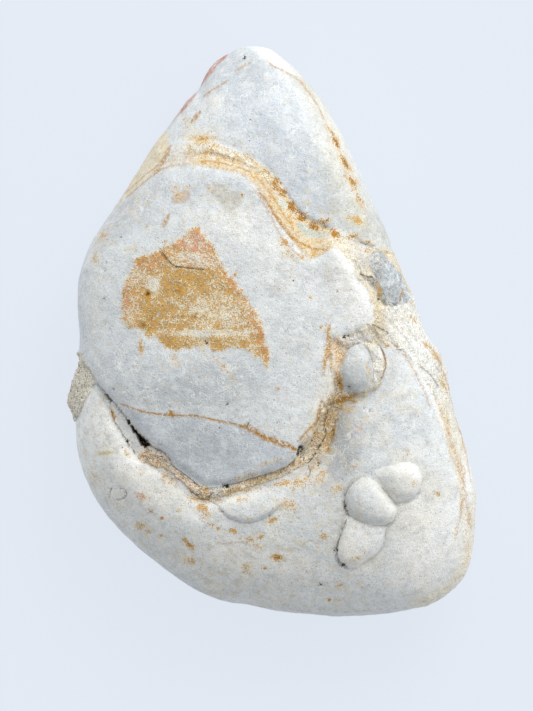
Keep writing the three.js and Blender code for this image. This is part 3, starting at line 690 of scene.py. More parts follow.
# Cracks, and painted shade in the creases at the feet of the pads, the lens, the nodule, the stone
# and the lobes' edges, a dark line each.
CRACKS_AND_CREASE_SHADE = {
    "patch_crack": (0.24, 1, [(159, 250), (165, 259), (173, 267), (185, 269), (203, 271)]),
    "groove_crack": (0.3, 1, [
        (322, 425), (325, 432), (323, 438), (318, 446), (313, 455), (306, 464)]),
    "dome_tick": (0.2, 0.8, [(249, 420), (245, 428)]),
    "matrix_crack": (0.22, 1, [(358, 275), (368, 278), (378, 283)]),
    "shoulder_crack": (0.3, 0.7, [(370, 325), (378, 329), (387, 335)]),
    "crack_tail": (0.2, 0.7, [(96, 384), (102, 390), (109, 399), (117, 408), (129, 423)]),
    "crack_dots": (0.7, 1, [(105, 395), (110, 402)]),
    "sliver_edge": (0.2, 0.75, [
        (109, 409), (113, 420), (118, 428), (124, 438), (131, 449), (137, 456)]),
    "facet_edge": (0.28, 0.8, [
        (147, 444), (155, 449), (162, 452), (167, 458), (172, 466), (180, 472), (190, 479),
        (199, 486)]),
    "groove_edge": (0.2, 0.6, [(304, 462), (309, 470), (306, 478)]),
    "groove_top": (0.22, 0.7, [(320, 400), (326, 412), (322, 425)]),
    "facet_foot": (0.24, 0.6, [
        (203, 488), (222, 486), (245, 480), (268, 473), (285, 466), (297, 456)]),
    "groove_tip": (0.4, 0.8, [(190, 491), (199, 498), (204, 499), (212, 493)]),
    "groove_tip_2": (0.24, 0.4, [(204, 499), (213, 503), (219, 507)]),
    "lens_foot": (0.22, 0.25, [
        (217, 505), (223, 513), (232, 519), (246, 522), (258, 520), (269, 515), (277, 508)]),
    "pad_b_left": (0.28, 0.5, [(352, 482), (345, 491), (343, 503), (346, 513), (356, 520)]),
    "pad_b_foot": (0.26, 0.45, [(356, 520), (367, 524), (380, 525.5), (391, 521), (396, 512)]),
    "pad_a_left": (0.26, 0.25, [(372, 472), (381, 483), (390, 497), (397, 505)]),
    "pad_a_right": (0.24, 0.25, [(397, 502), (408, 499), (417, 492), (421, 480)]),
    "pad_c_left": (0.34, 0.6, [(345, 518), (340, 532), (335, 549), (338, 561), (346, 567)]),
    "pad_c_right": (0.24, 0.25, [(385, 527), (382, 541), (377, 552)]),
    "nodule_left": (0.24, 0.25, [(352, 344), (343, 354), (338, 368), (339, 383), (345, 392)]),
    "collar_right": (0.35, 0.6, [(377, 345), (382, 354), (384, 365), (381, 378)]),
    "half_ring_2": (0.22, 0.6, [(110.5, 488), (108.5, 492), (108, 497)]),
    "half_ring": (0.26, 0.6, [(119, 488), (124, 490), (125, 495), (121, 499), (115, 500)]),
    "stone_left": (0.3, 0.5, [
        (369, 266), (375, 275), (379, 284), (381, 293), (386, 302), (396, 306)]),
    "upper_edge": (0.2, 0.35, [(336, 236), (350, 241), (363, 245), (374, 247)]),
    "ledge_shade": (0.35, 0.5, [(420, 366), (427, 373), (433, 379), (438, 388)]),
    "matrix_fold_1": (0.3, 0.25, [(376, 312), (390, 322), (402, 336), (412, 350)]),
    "matrix_fold_2": (0.3, 0.25, [(392, 309), (404, 324), (416, 342), (428, 360)]),
    "matrix_fold_3": (0.3, 0.35, [(352, 262), (358, 268), (360, 276)]),
}

# Stains on the front: centre, half length, half width in pixels, angle, strength from 0 to 1,
# and hue: 0 is pink rust, 0.5 orange, 1 ochre and 1.5 brown.
STAINS = [
    (174, 190, 5.8, 4.6, 0, 0.54, 0.7), (187, 189, 4.6, 3.4, 0, 0.46, 0.7),
    (178, 197, 8, 5.8, 0, 0.47, 0.7), (241, 197, 2.1, 2.1, 0, 0.95, 0.7),
    (208, 190, 4.6, 2.3, -20, 0.46, 0.8), (164, 243, 3.4, 2.3, 0, 0.6, 0.7),
    (131, 250, 10.3, 3.4, 0, 0.46, 0.9), (136, 262, 5.8, 4.6, 0, 0.46, 0.8),
    (100, 238, 9.2, 5.8, 50, 0.4, 0.9), (94, 259, 5.8, 6.9, 0, 0.4, 0.9),
    (199, 141, 13.8, 6.9, -10, 0.56, 0.8), (189, 152, 6.9, 4.6, 0, 0.46, 0.9),
    (186, 124, 4.6, 9.2, 40, 0.42, 0.9), (282, 243, 10.3, 5.8, -60, 0.54, 0.7),
    (287, 256, 9.2, 5.8, -40, 0.49, 0.7), (300, 258, 11.5, 4.6, -30, 0.46, 0.7),
    (356, 222, 12, 6, -25, 0.52, 1), (334, 143, 11.5, 4.6, -62, 0.7, 0.8),
    (345, 166, 14.9, 5.8, -62, 0.6, 0.8), (351, 183, 10.3, 5.8, -60, 0.64, 0.7),
    (358, 203, 11.5, 4.6, -60, 0.52, 0.6), (327, 131, 3.4, 9.2, 25, 0.53, 0.8),
    (309, 298, 4, 2.3, -40, 0.46, 0.8), (290, 362, 1.8, 1.8, 0, 0.9, 0.8),
    (277, 389, 2.1, 1.8, 0, 0.7, 0.9), (319, 328, 1.4, 1.4, 0, 0.9, 0.7),
    (234, 275.5, 2, 2, 0, 0.95, 0.9), (222, 366, 10.3, 4.6, -40, 0.42, 0.9),
    (233, 380, 8, 2.3, -60, 0.37, 1), (140, 348, 3, 13, 0, 0.6, 0.9),
    (173, 359, 4, 8, -20, 0.52, 0.8), (217, 362, 9, 3, -25, 0.46, 0.9),
    (175, 363, 6.9, 4.6, 0, 0.46, 0.8), (141.5, 497, 6.9, 5.8, 0, 0.53, 0),
    (160.5, 518, 2, 1.7, 0, 0.98, 0.2), (150, 511.6, 2.3, 1.8, 0, 0.87, 0.8),
    (136, 493, 3.4, 2.3, 0, 0.59, 0.8), (140, 526, 6.9, 5.8, 0, 0.53, 0.8),
    (146, 532, 5.8, 3.4, 0, 0.53, 0.8), (160, 535.5, 5.8, 2.3, 0, 0.57, 0.6),
    (178, 510.5, 3.4, 1.8, 0, 0.72, 0.8), (183, 539, 3.4, 2.3, 0, 0.92, 0.9),
    (188, 545, 8, 3.4, -40, 0.73, 1), (186, 560, 10.3, 4.6, -15, 0.53, 0.8),
    (232, 530.7, 6.3, 3.4, -20, 0.63, 0.8), (217, 527.6, 2.5, 2.3, 0, 0.87, 0.8),
    (211, 524, 4.6, 3.4, 0, 0.53, 0.8), (248, 539, 9.2, 3.9, -15, 0.63, 0.8),
    (260, 535.5, 2.9, 2.5, 0, 0.92, 0.9), (257, 546, 6.9, 2.3, -20, 0.56, 0.8),
    (271, 520.4, 5.8, 3.9, 30, 0.71, 0.9), (286, 505, 13.8, 8, 0, 0.53, 0.9),
    (276.4, 557, 8, 4, 0, 0.81, 1), (245, 567, 5.8, 5.8, 0, 0.53, 0.8),
    (264, 567.7, 2.1, 1.8, 0, 0.97, 0.8), (201, 507, 8, 5, -40, 0.6, 0.8),
    (168, 478, 12, 5, -38, 0.5, 0.7), (193, 499, 9, 4, -45, 0.56, 0.8),
    (206, 515, 8, 5, 20, 0.46, 0.9), (240, 499, 6.9, 2.8, 10, 0.56, 0.8),
    (170, 483, 9.2, 3.4, -20, 0.56, 0.8), (141, 473, 4, 2.9, 0, 0.46, 0.8),
    (125.5, 453, 5.8, 2.5, -50, 0.56, 0.8), (100, 453, 5, 1.4, 6, 0.4, 1),
    (357.6, 428, 4.1, 3.7, 0, 0.46, 0), (405.5, 454, 2.3, 4, 0, 0.54, 0.2),
    (333, 489, 10.3, 6.9, 40, 0.53, 1), (352, 466, 6.9, 4, 0, 0.46, 0.8),
    (436.5, 494, 5.2, 1.4, -38, 0.92, 0.9), (321, 535.5, 5.8, 4.6, 0, 0.53, 0.9),
    (339, 585, 4.6, 1.6, 0, 0.92, 0.9), (328, 599.3, 1.8, 1.8, 0, 0.92, 0.9),
    (335, 599.5, 9.2, 1.4, 0, 0.53, 0.9), (412, 484, 4.6, 4.6, 0, 0.36, 1),
    (354, 558, 6.9, 4.6, 0, 0.51, 0.9), (337, 352, 6.9, 16.1, 0, 0.46, 0.9),
    (300, 480, 18.4, 8, 25, 0.46, 0.9), (314, 466, 10.3, 5.8, 60, 0.49, 0.9),
    (332, 432, 2.6, 7, 0, 0.69, 0.9), (326, 450, 3.4, 3.4, 0, 0.74, 0.8),
    (344, 408, 6.9, 5.8, 0, 0.46, 0.9), (355, 362, 3.4, 6.9, 20, 0.42, 0.9),
    (366, 372, 2.9, 10.3, 10, 0.46, 1), (339, 382, 2.9, 5.8, 0, 0.74, 0.9),
    (386, 346, 3.4, 2.3, 0, 0.8, 0.9), (368, 252, 5.8, 3.4, 0, 0.47, 0.9),
    (379, 293, 1.6, 3, 20, 0.5, 1), (268, 462, 16.1, 2.5, 18, 0.46, 0.9),
    (246, 476, 13.8, 3.4, 15, 0.46, 0.9), (305, 440, 5.8, 6.9, 50, 0.46, 0.9),
    (228, 494, 11.5, 3.4, 0, 0.54, 0.9), (327, 334, 5, 10, 10, 0.46, 0.8),
    (324, 360, 4, 14, 5, 0.46, 0.8), (446, 424, 3, 14, 12, 0.45, 0.9),
    (452, 452, 3, 12, 20, 0.42, 0.9), (461, 476, 2.4, 12, 15, 0.42, 0.9),
    (460, 505, 2.4, 16, 0, 0.42, 0.9), (455, 534, 3, 10, -10, 0.4, 0.9),
    (434, 357, 10, 3.4, -52, 0.62, 0.9), (442, 384, 12, 3, -66, 0.52, 0.9),
    (425, 346, 4, 3, -30, 0.7, 0.8), (412, 320, 8, 3, -60, 0.45, 1),
    (350, 400, 14, 5, -25, 0.46, 0.9), (112, 414, 6, 2.5, -60, 0.49, 0.8),
    (150, 462, 16, 4, -35, 0.35, 0.9), (92, 478, 8, 12, 30, 0.22, 1),
    (116, 505, 16, 5, -35, 0.26, 1), (250, 489, 16, 3, 14, 0.55, 0.9),
    (282, 483, 14, 4, 10, 0.6, 0.9), (318, 478, 12, 8, 40, 0.52, 0.9),
    (262, 479, 16, 3, 16, 0.52, 0.8), (327, 423, 3, 8, 0, 0.6, 0.9),
    (313, 432, 3, 10, 25, 0.62, 0.8), (210, 500, 14, 4, 0, 0.55, 0.9),
    (205, 490, 10, 4, -30, 0.53, 0.9),
]

OCHRE_HUE = 0.9
GRAIN_HUE = 1.3
PATCH_GROUND = 0.61

# The rust patch, on its even half-stained ground: the same numbers, with a change of strength
# instead of a strength.
PATCH = [
    (184, 282, 26, 10, 4, 0.16, 1.05), (150, 318, 9, 16, 0, 0.13, 1.1),
    (174, 304, 22, 12, 10, 0.06, 1), (190, 344, 34, 5, 0, 0.08, 1), (150, 262, 16, 6, 25, 0.1, 0.5),
    (228, 276, 12, 4, -55, 0.04, 0.3), (240, 293, 14, 5, -50, 0.1, 0.45),
    (258, 335, 18, 6, -68, 0.08, 0.45), (266, 352, 14, 4, -75, 0.13, 0.5),
    (168, 344, 10, 6, 0, 0.06, 1.05), (125, 300, 3.5, 14, 0, 0.03, 0.1),
    (198, 240, 12, 8, -30, -0.04, 0.1), (193, 261, 20, 6.5, -8, -0.24, 0.3),
    (152, 286, 7, 8, 0, -0.46, 0.6), (219, 313, 26, 12, -22, -0.21, 0.95),
    (206, 334, 34, 3.2, 0, -0.42, 0.9), (199, 341, 8, 3.4, 0, -0.2, 0.9),
    (240, 351, 14, 3, -10, -0.2, 0.8), (132, 279, 6, 6, 0, -0.16, 0.4),
    (128, 318, 4, 10, 0, -0.12, 0.2), (134, 305, 5, 12, 0, -0.1, 0.4),
    (250, 318, 8, 5, -50, -0.06, 0.4), (190, 246, 24, 12, -10, 0, 0.1),
    (146, 264, 20, 9, 25, 0, 0.4), (123, 300, 6, 30, 0, 0, 0.2), (236, 282, 30, 8, -52, 0, 0.3),
    (262, 335, 34, 8, -70, 0, 0.45), (146.7, 295, 2.3, 4.8, 0, 0.8, 1.35),
    (193.3, 318, 1.6, 1.6, 0, 0.55, 1.3), (177, 292, 5, 1.8, 0, 0.2, 1.25),
    (143, 325.5, 3, 2, 0, 0.25, 1.2), (121, 294, 1.8, 2.6, 0, 0.4, 1.2),
]

# Belts of coarse brown grains along the ridge: centre, half length, half width, angle, strength.
GRAIN_BELTS = [
    (274, 185, 9, 6, -65, 0.95), (281, 195, 7, 5, -50, 0.85), (291, 210, 10, 6, -48, 0.95),
    (301, 220, 9, 5.5, -35, 0.9), (313, 229, 9, 6.5, -30, 0.95), (322, 223, 9, 4, 5, 0.8),
    (333, 235, 8, 5, -25, 0.95), (350, 238, 8, 3, 0, 0.85), (366, 243, 8, 2, -5, 0.65),
    (248, 159, 7, 3, -35, 0.75), (232, 164, 5, 2.2, 0, 0.65), (266, 174, 6, 3, -40, 0.7),
    (335, 145, 12, 2.6, -55, 0.68), (343, 164, 13, 2.6, -62, 0.62), (351, 183, 13, 2.6, -60, 0.64),
    (358, 200, 9, 2.2, -60, 0.6), (331, 134, 4, 3, -50, 0.7), (200, 140, 6, 2.2, -10, 0.45),
    (276, 556, 5, 2.4, 0, 0.5), (188, 545, 5, 1.6, -40, 0.5), (339, 401, 8, 2, 5, 0.55),
    (330, 430, 2, 4, 0, 0.5), (326, 449, 2.4, 3, 0, 0.5),
]

# Small pits: centre and half width in pixels, depth in millimetres and how dark the dirt is.
PITS = [
    (243, 58.5, 1.6, 0.3, 0.9), (226, 404.8, 1.1, 0.3, 0.9), (368, 410, 1.1, 0.3, 0.8),
    (363, 407, 0.9, 0.2, 0.7), (388, 415.5, 0.9, 0.3, 0.7), (146.7, 295, 1.5, 0.5, 0.35),
    (193.5, 318, 1.3, 0.2, 0.6), (104, 271, 0.9, 0.2, 0.6), (102.6, 298.7, 1, 0.2, 0.7),
    (83.5, 338, 0.9, 0.15, 0.5), (113, 389, 0.9, 0.15, 0.7), (343, 338, 1.6, 0.4, 0.9),
    (347, 337, 1.2, 0.4, 0.8), (343.3, 506, 1.4, 0.4, 0.9), (345, 511, 1.2, 0.3, 0.7),
    (334.5, 550, 1.4, 0.3, 0.8), (341.7, 565, 1.6, 0.3, 0.9), (301, 449, 2.6, 1, 1),
    (299, 454, 2, 0.8, 0.9), (126, 441, 1.5, 0.4, 0.9), (226, 486, 2, 0.5, 0.9),
    (222, 485.5, 1.4, 0.4, 0.7), (335, 292, 0.9, 0.2, 0.7), (292, 282, 0.9, 0.2, 0.6),
    (222, 238, 0.9, 0.1, 0.6), (119, 238, 1.1, 0.15, 0.6), (249, 121, 0.8, 0.1, 0.7),
    (104.5, 264, 0.9, 0.15, 0.5), (122, 447, 0.9, 0.15, 0.7), (218, 428, 0.8, 0.1, 0.6),
    (276, 422, 0.9, 0.15, 0.6), (400, 552, 0.9, 0.15, 0.6), (305, 572, 0.9, 0.15, 0.6),
    (319.4, 584, 1.6, 0.2, 0.8), (337, 384, 1.4, 0.3, 0.8), (205, 343.5, 2.2, 0.3, 0.6),
    (245, 158, 1.4, 0.3, 0.5), (250, 161, 1.4, 0.3, 0.5), (377, 300, 1.6, 0.3, 0.6),
    (393, 514, 1, 0.3, 0.6), (221, 511, 1.4, 0.3, 0.5), (268, 516, 1.2, 0.2, 0.4),
    (317, 463, 1.3, 0.5, 0.8), (347, 387, 1.3, 0.3, 0.6),
]

# ------------------------------------------------------------------ colours, sRGB

STONE = (223, 226, 227)
STONE_COOL = (206, 213, 221)
STONE_GREY = (198, 203, 207)
STONE_WHITE = (242, 243, 240)
STONE_WARM = (240, 238, 232)
CHALK = (252, 251, 247)
MOTTLE = (224, 210, 178)
YELLOW = (214, 204, 140)
# Dark of the crack: its soil, and painted shade of its depth.
CRACK_SOIL_AND_SHADE = (128, 98, 72)
CREAM = (240, 232, 213)
CREAM_SHADE = (206, 190, 160)
CREAM_GREY = (222, 218, 202)
FILL_CREAM = (244, 230, 200)
GREY_CREAM = (203, 203, 193)
STONE_SHADE = (178, 182, 184)
GAP_BROWN = (96, 70, 48)
RIDGE_CREAM = (226, 212, 184)
MATRIX_CREAM = (236, 219, 187)
RIDGE_ORANGE = (210, 168, 104)
FILL_BEIGE = (250, 230, 210)
FILL_BROWN = (226, 198, 160)
NUB_BEIGE = (236, 228, 208)
CORNER_GREY = (138, 134, 122)
BLUE_GREY = (190, 199, 205)
# Grey of the nodule, partly its own and partly painted shade of its lower left.
NODULE_GREY_AND_SHADE = (190, 194, 195)
GLASS_GREEN = (206, 208, 194)
TAN = (230, 212, 172)
TAN_GREY = (200, 195, 182)
TAN_PINK = (204, 184, 166)
BACK_RED = (196, 136, 116)
STAIN_PINK = (196, 130, 104)
STAIN_ORANGE = (186, 124, 50)
STAIN_OCHRE = (182, 134, 48)
STAIN_BROWN = (142, 88, 20)
STAIN_DARK = (84, 56, 24)
SEAM_BROWN = (184, 131, 40)
# Dark brown of cracks and of painted shade in creases.
CRACK_AND_SHADE_BROWN = (98, 86, 70)
SOOT = (50, 45, 40)
PEPPER = (138, 134, 128)
FLOOR = (229, 236, 246)

# Broad soft tones of the bare stone, partly its own colour and partly painted light and shade:
# whiter where it faces the light, greyer and cooler on slopes turned from it. Centre, half
# length, half width in pixels, angle, colour and share.
TONES_WITH_PAINTED_LIGHT_AND_SHADE = [
    (262, 120, 75, 38, -62, STONE_COOL, 0.85), (308, 195, 60, 32, -55, STONE_COOL, 0.8),
    (241, 72, 24, 18, 0, STONE_COOL, 0.75), (368, 232, 34, 18, -55, GREY_CREAM, 0.85),
    (345, 185, 55, 9, -62, CREAM, 0.6), (137, 204, 24, 8, 35, TAN_PINK, 0.4),
    # Next two lines: the dome's upper right is whiter, partly as painted highlight, and its low
    # part greyer, partly as painted shade.
    (101, 240, 16, 8, 60, TAN_PINK, 0.3), (232, 226, 42, 15, -20, STONE_WHITE, 0.9),
    (264, 240, 40, 16, -55, STONE_WHITE, 0.9), (208, 381, 75, 22, 8, STONE_GREY, 0.75),
    # (340, 440) STONE_GREY: painted shade on the bulge's slope right of the groove.
    (352, 288, 36, 13, -65, STONE_WHITE, 0.95), (340, 440, 42, 16, 62, STONE_GREY, 0.75),
    (118, 436, 50, 12, -52, STONE_WHITE, 0.9), (168, 494, 50, 12, -35, STONE_WHITE, 0.9),
    (250, 511, 30, 10, 0, STONE_GREY, 0.35), (245, 565, 70, 20, -8, CREAM, 0.2),
    (96, 465, 50, 24, -58, STONE_WHITE, 1), (150, 525, 60, 24, -38, STONE_WHITE, 0.6),
    (362, 545, 14, 22, 0, STONE_WHITE, 0.8), (405, 480, 16, 14, 0, STONE_WHITE, 0.5),
    (372, 502, 20, 16, 0, STONE_WHITE, 0.4), (92, 290, 14, 60, 0, STONE_WARM, 0.5),
    (456, 500, 12, 50, 0, STONE_WHITE, 0.6), (243, 76, 30, 22, 0, STONE_GREY, 0.7),
    (350, 205, 55, 18, -62, GREY_CREAM, 0.6), (322, 112, 60, 9, -60, CREAM, 0.55),
    # (116, 440) and (172, 496) CHALK: the inner edge of the arm whitened, partly its own white and
    # partly painted light where it faces the light.
    (116, 440, 52, 11, -54, CHALK, 1), (172, 496, 46, 11, -35, CHALK, 0.4),
    (425, 540, 50, 34, 75, CHALK, 1), (352, 292, 38, 14, -65, CHALK, 0.8),
    (252, 238, 42, 15, -40, CHALK, 0.5), (140, 378, 50, 22, -20, STONE_GREY, 0.7),
    # (220, 392) STONE_SHADE: painted shade low on the dome.
    (220, 392, 50, 18, 5, STONE_SHADE, 0.45), (395, 425, 40, 26, 0, STONE_COOL, 0.5),
    # (335, 455) STONE_SHADE: painted shade on the bulge's slope right of the groove.
    (256, 558, 50, 14, -5, STONE_WARM, 0.9), (335, 455, 18, 30, 20, STONE_SHADE, 0.9),
    # (386, 478) STONE_GREY: painted shade at the left foot of pad A.
    (386, 478, 6, 12, 30, STONE_GREY, 0.5), (418, 362, 10, 16, -60, CHALK, 0.6),
    # (208, 448) STONE_GREY: painted shade low on the dome, partly its greyer stone.
    (355, 545, 16, 20, 0, CHALK, 0.6), (208, 448, 55, 26, 8, STONE_GREY, 0.75),
    (215, 190, 60, 20, 0, STONE_COOL, 0.5), (96, 480, 9, 8, 30, CREAM_SHADE, 0.3),
    (330, 430, 6, 22, 0, RIDGE_CREAM, 0.6), (295, 60, 50, 10, -60, CREAM_GREY, 0.7),
    (246, 66, 22, 16, 0, STONE_SHADE, 0.35), (130, 215, 30, 16, 45, STONE_GREY, 0.5),
    (330, 398, 10, 20, 0, RIDGE_CREAM, 0.5), (252, 492, 42, 4.5, 14, CHALK, 0.9),
    # (340, 452) STONE_SHADE: painted shade on the bulge's slope.
    (300, 480, 14, 6, 20, CHALK, 0.6), (340, 452, 8, 26, 15, STONE_SHADE, 0.5),
    (312, 420, 4, 22, -12, CREAM, 0.8), (472, 500, 8, 60, 0, CREAM, 0.6),
    # (344, 438) STONE_SHADE: painted shade on the bulge's slope.
    (360, 545, 18, 22, 0, CHALK, 0.7), (344, 438, 10, 26, 15, STONE_SHADE, 0.6),
    (104, 452, 40, 16, -56, CHALK, 1), (305, 92, 40, 7, -60, GREY_CREAM, 0.5),
    # (190, 440) STONE_SHADE: painted shade low on the dome.
    (190, 440, 40, 18, 8, STONE_SHADE, 0.25), (200, 141, 16, 8, -10, TAN, 0.5),
    (468, 470, 10, 60, 0, STONE_WARM, 0.7), (352, 292, 30, 10, -65, CHALK, 0.8),
    (410, 478, 12, 9, 0, CHALK, 0.7),
]

# The same over the matrix, the bands and the fill. The STONE_SHADE rows and the STONE_GREY row
# are painted shade: on the bulge's slope right of the groove, at pad A's foot, low on the lower
# lobe, and on lit parts of the upper lobe and the shoulder.
LATE_TONES_WITH_PAINTED_SHADE = [
    (104, 453, 9, 1.8, 6, YELLOW, 1), (356, 339, 16, 6, 5, CHALK, 0.8),
    (362, 252, 14, 8, -30, STONE_WARM, 0.7), (150, 457, 14, 8, -35, FILL_BEIGE, 0.6),
    (346, 300, 40, 10, -65, CHALK, 0.5), (420, 350, 12, 3, -45, CHALK, 0.6),
    (404, 352, 20, 2.6, -42, CHALK, 0.7), (431, 398, 26, 2.4, -68, CHALK, 0.7),
    (199, 342, 8, 3.6, 0, TAN_GREY, 0.9), (268, 55, 28, 6, -38, CHALK, 0.9),
    (212, 104, 9, 9, 0, STONE_WARM, 0.8), (214, 492, 9, 4, 0, CHALK, 0.8),
    # (363, 264) STONE_GREY: painted shade on the shoulder's lit top.
    (363, 264, 10, 8, -60, STONE_GREY, 0.4), (296, 463, 8, 5, 20, FILL_BEIGE, 0.7),
    # (340, 452) STONE_SHADE: painted shade on the bulge's slope.
    (340, 452, 6, 16, 15, STONE_SHADE, 0.2), (356, 428, 20, 10, 0, STONE_COOL, 0.3),
    # (344, 442) STONE_SHADE: painted shade on the bulge's slope.
    (467, 490, 5, 44, 0, STONE_WHITE, 0.7), (344, 442, 14, 24, 15, STONE_SHADE, 0.3),
    # (386, 482) STONE_SHADE at pad A's left foot and (371, 228) on the upper lobe's lit lower
    # right: painted shade.
    (386, 482, 7, 12, 20, STONE_SHADE, 0.25), (371, 228, 16, 14, -30, STONE_SHADE, 0.2),
    # (337, 450) STONE_SHADE: painted shade on the bulge's slope.
    (465, 478, 6, 20, 0, CHALK, 0.6), (337, 450, 8, 16, 15, STONE_SHADE, 0.35),
    # (352, 432) and (182, 500) STONE_SHADE: painted shade on the bulge and low on the lower lobe.
    (352, 432, 14, 12, 0, STONE_SHADE, 0.25), (182, 500, 12, 7, -35, STONE_SHADE, 0.2),
]

# ------------------------------------------------------------------ light and camera, metres

BRIGHT_SIDE = (0.36, 0.93, 0.0)
ROOM_CONTRAST = 0.90
ROOM_LEVEL = 0.80
ROOM_COLOUR = (0.97, 0.99, 1.0)
WINDOW_PLACE = (0.34, 0.66, 0.70)
WINDOW_SIZE = 0.60
WINDOW_WATTS = 3.0
WINDOW_COLOUR = (1.0, 0.99, 0.97)
LIT_HEIGHT = 0.02               # the window looks at a point this far above the floor
FLOOR_HALF = 3.0
FLOOR_GLOW = 0.85
EYE_DISTANCE = 2.0
SENSOR_MM = 36.0
FARTHEST = 20.0


def linear(colour):
    c = np.asarray(colour, float) / 255
    return np.where(c <= 0.04045, c / 12.92, ((c + 0.055) / 1.055) ** 2.4)


def blend(under, colour, share):
    return under + (linear(colour) - under) * np.clip(share, 0, 1)[:, None]


# ------------------------------------------------------------------ fields on the mesh

def spot(x, y, mark):
    """0 to 1 inside an elliptical mark."""
    px, py, half_long, half_wide, angle = mark
    return swelling(x, y, (px, py), angle, half_long * PX_MM, half_wide * PX_MM)


def line_fields(x, y, lines):
    """Nearest line: distance from it in half widths, signed, and how strongly it is there."""
    side = np.full(x.shape, 3.0)
    strength = np.zeros(x.shape)
    for width, strong, points in lines.values():
        line = smooth_line(points, closed=False)
        signed, distance, where = along_line(x, y, line)
        thick = np.sqrt(np.clip(4 * where * (1 - where) + 0.02, 0, 1))
        half = 0.5 * width * (0.35 + 0.65 * thick)
        ratio = signed / half
        side = np.where(np.abs(ratio) < np.abs(side), np.clip(ratio, -3, 3), side)
        strength = np.maximum(strength, strong * (1 - smoothstep(1.5, 3.0, distance / half)))
    return side, strength


def streaky(points, angle, long, wide, seed):
    """Random field drawn out along a direction in plan."""
    c, s = math.cos(math.radians(angle)), math.sin(math.radians(angle))
    along = points[:, 0] * c + points[:, 1] * s
    across = points[:, 1] * c - points[:, 0] * s
    return rough(np.stack([along / long, across / wide, points[:, 2] / long], 1), 1.0, seed, 2)


class Field:
    """Places, random fields and masks that the colours, stains and relief share."""

    def __init__(self, points, x, y, d, front, below):
        self.points, self.x, self.y, self.d = points, x, y, d
        self.front, self.below = front, below
        self.px, self.py = pixel(x, y)
        self.wide = rough(points, 9.0, 3)
        self.mid = rough(points, 2.6, 7)
        self.fine = rough(points, 1.1, 11)
        self.folds = streaky(points, -58, 5.0, 1.1, 71)
        self.share, there = between_lobes(self.px, self.py, d)
        self.ridge = there * front * (0.35 + 0.65 * smoothstep(165, 215, self.px))
        self.crust = smoothstep(0.45, 0.65, self.share + 0.1 * self.fine)
        self.crust = self.crust * smoothstep(*CRUST_ENDS, self.px)
        nodule = smoothstep(-0.15, 0.15, d["nodule"])
        self.nodule = front * nodule
        self.matrix = self.within("matrix", 0.4, 0.5) * (1 - nodule)
        self.groove = self.within("groove", 0.2, 0.2)
        self.stone = self.within("stone", 0.2, 0.2)
        self.corner = self.within("corner", 0.25, 0.2)
        self.nub = smoothstep(-0.25, 0.25, d["nub"] + 0.2 * self.fine)
        self.nub = self.nub * smoothstep(6.5, 3.5, below + 1.5 * self.mid)
        drips = 0.8 * self.mid * smoothstep(322, 338, self.py)
        self.patch = front * smoothstep(-0.5, 0.7, d["rust"] + 0.4 * self.fine + drips)
        self.pebble = smoothstep(-0.1, 0.2, np.maximum(d["glass_a"], d["glass_b"]))
        self.band = self.right_band()

    def within(self, name, soft, ragged):
        return self.front * smoothstep(-soft, soft, self.d[name] + ragged * self.fine)

    def right_band(self):
        """Layered cream rim of the lower right."""
        width = 3.4 - 1.6 * smoothstep(470, 570, self.py)
        band = smoothstep(width + 0.4, width - 0.4, self.d["rim"] + 0.35 * self.mid)
        place = smoothstep(400, 425, self.px) * smoothstep(380, 420, self.py)
        return band * place * smoothstep(8, 2, self.below)

    def sum_of(self, marks):
        """Strength and hue where marks overlap: the strongest stain gives its hue."""
        strength, hue = np.zeros(len(self.x)), np.full(len(self.x), 0.5)
        for *place, strong, tone in marks:
            here = strong * spot(self.x, self.y, place)
            hue = np.where(here > strength, tone, hue)
            strength = np.maximum(strength, here)
        return strength, hue


def tones(f, marks, gain, ragged=1.0):
    for *place, colour, share in marks:
        yield colour, f.front * share * np.clip(gain * spot(f.x, f.y, place) * ragged, 0, 1)


def chalk_colours(f):
    """The chalky stone: its facet and the dome's left, cooler partly as painted shade, broad tones
    with painted light and shade, worn patches and the ground under the rust.
    """
    lobe, dome = f.d["lower"], f.d["dome"]
    facet = f.front * smoothstep(0, 1.0, f.d["facet"]) * smoothstep(-0.2, 0.2, dome)
    left = f.front * smoothstep(0, 1, dome) * smoothstep(170, 90, f.px)
    warm = smoothstep(0.1, 0.9, rough(f.points, 6.0, 23) + 0.2)
    patchy = smoothstep(0.2, -0.6, rough(f.points, 3.4, 29, 2))
    return [
        # Painted shade, partly the stone's own cool colour: the facet and the dome's left, which
        # turn from the light.
        (STONE_COOL, 0.75 * facet + 0.35 * left),
        (STONE_WHITE, f.front * 0.14 * f.wide),
        *tones(f, TONES_WITH_PAINTED_LIGHT_AND_SHADE, 1.25, 1 + 0.35 * f.wide + 0.30 * f.mid),
        (TAN_GREY, 0.8 * f.within("tan_patch", 0.15, 0.25)),
        (TAN_PINK, 0.8 * f.within("pink_patch", 0.15, 0.25)),
        (CREAM, 0.30 * warm * smoothstep(0, 2, lobe) * f.front),
        (CREAM, (0.10 + 0.25 * warm) * (1 - f.front)),
        (TAN, f.patch * (0.30 + 0.35 * patchy)),
    ]


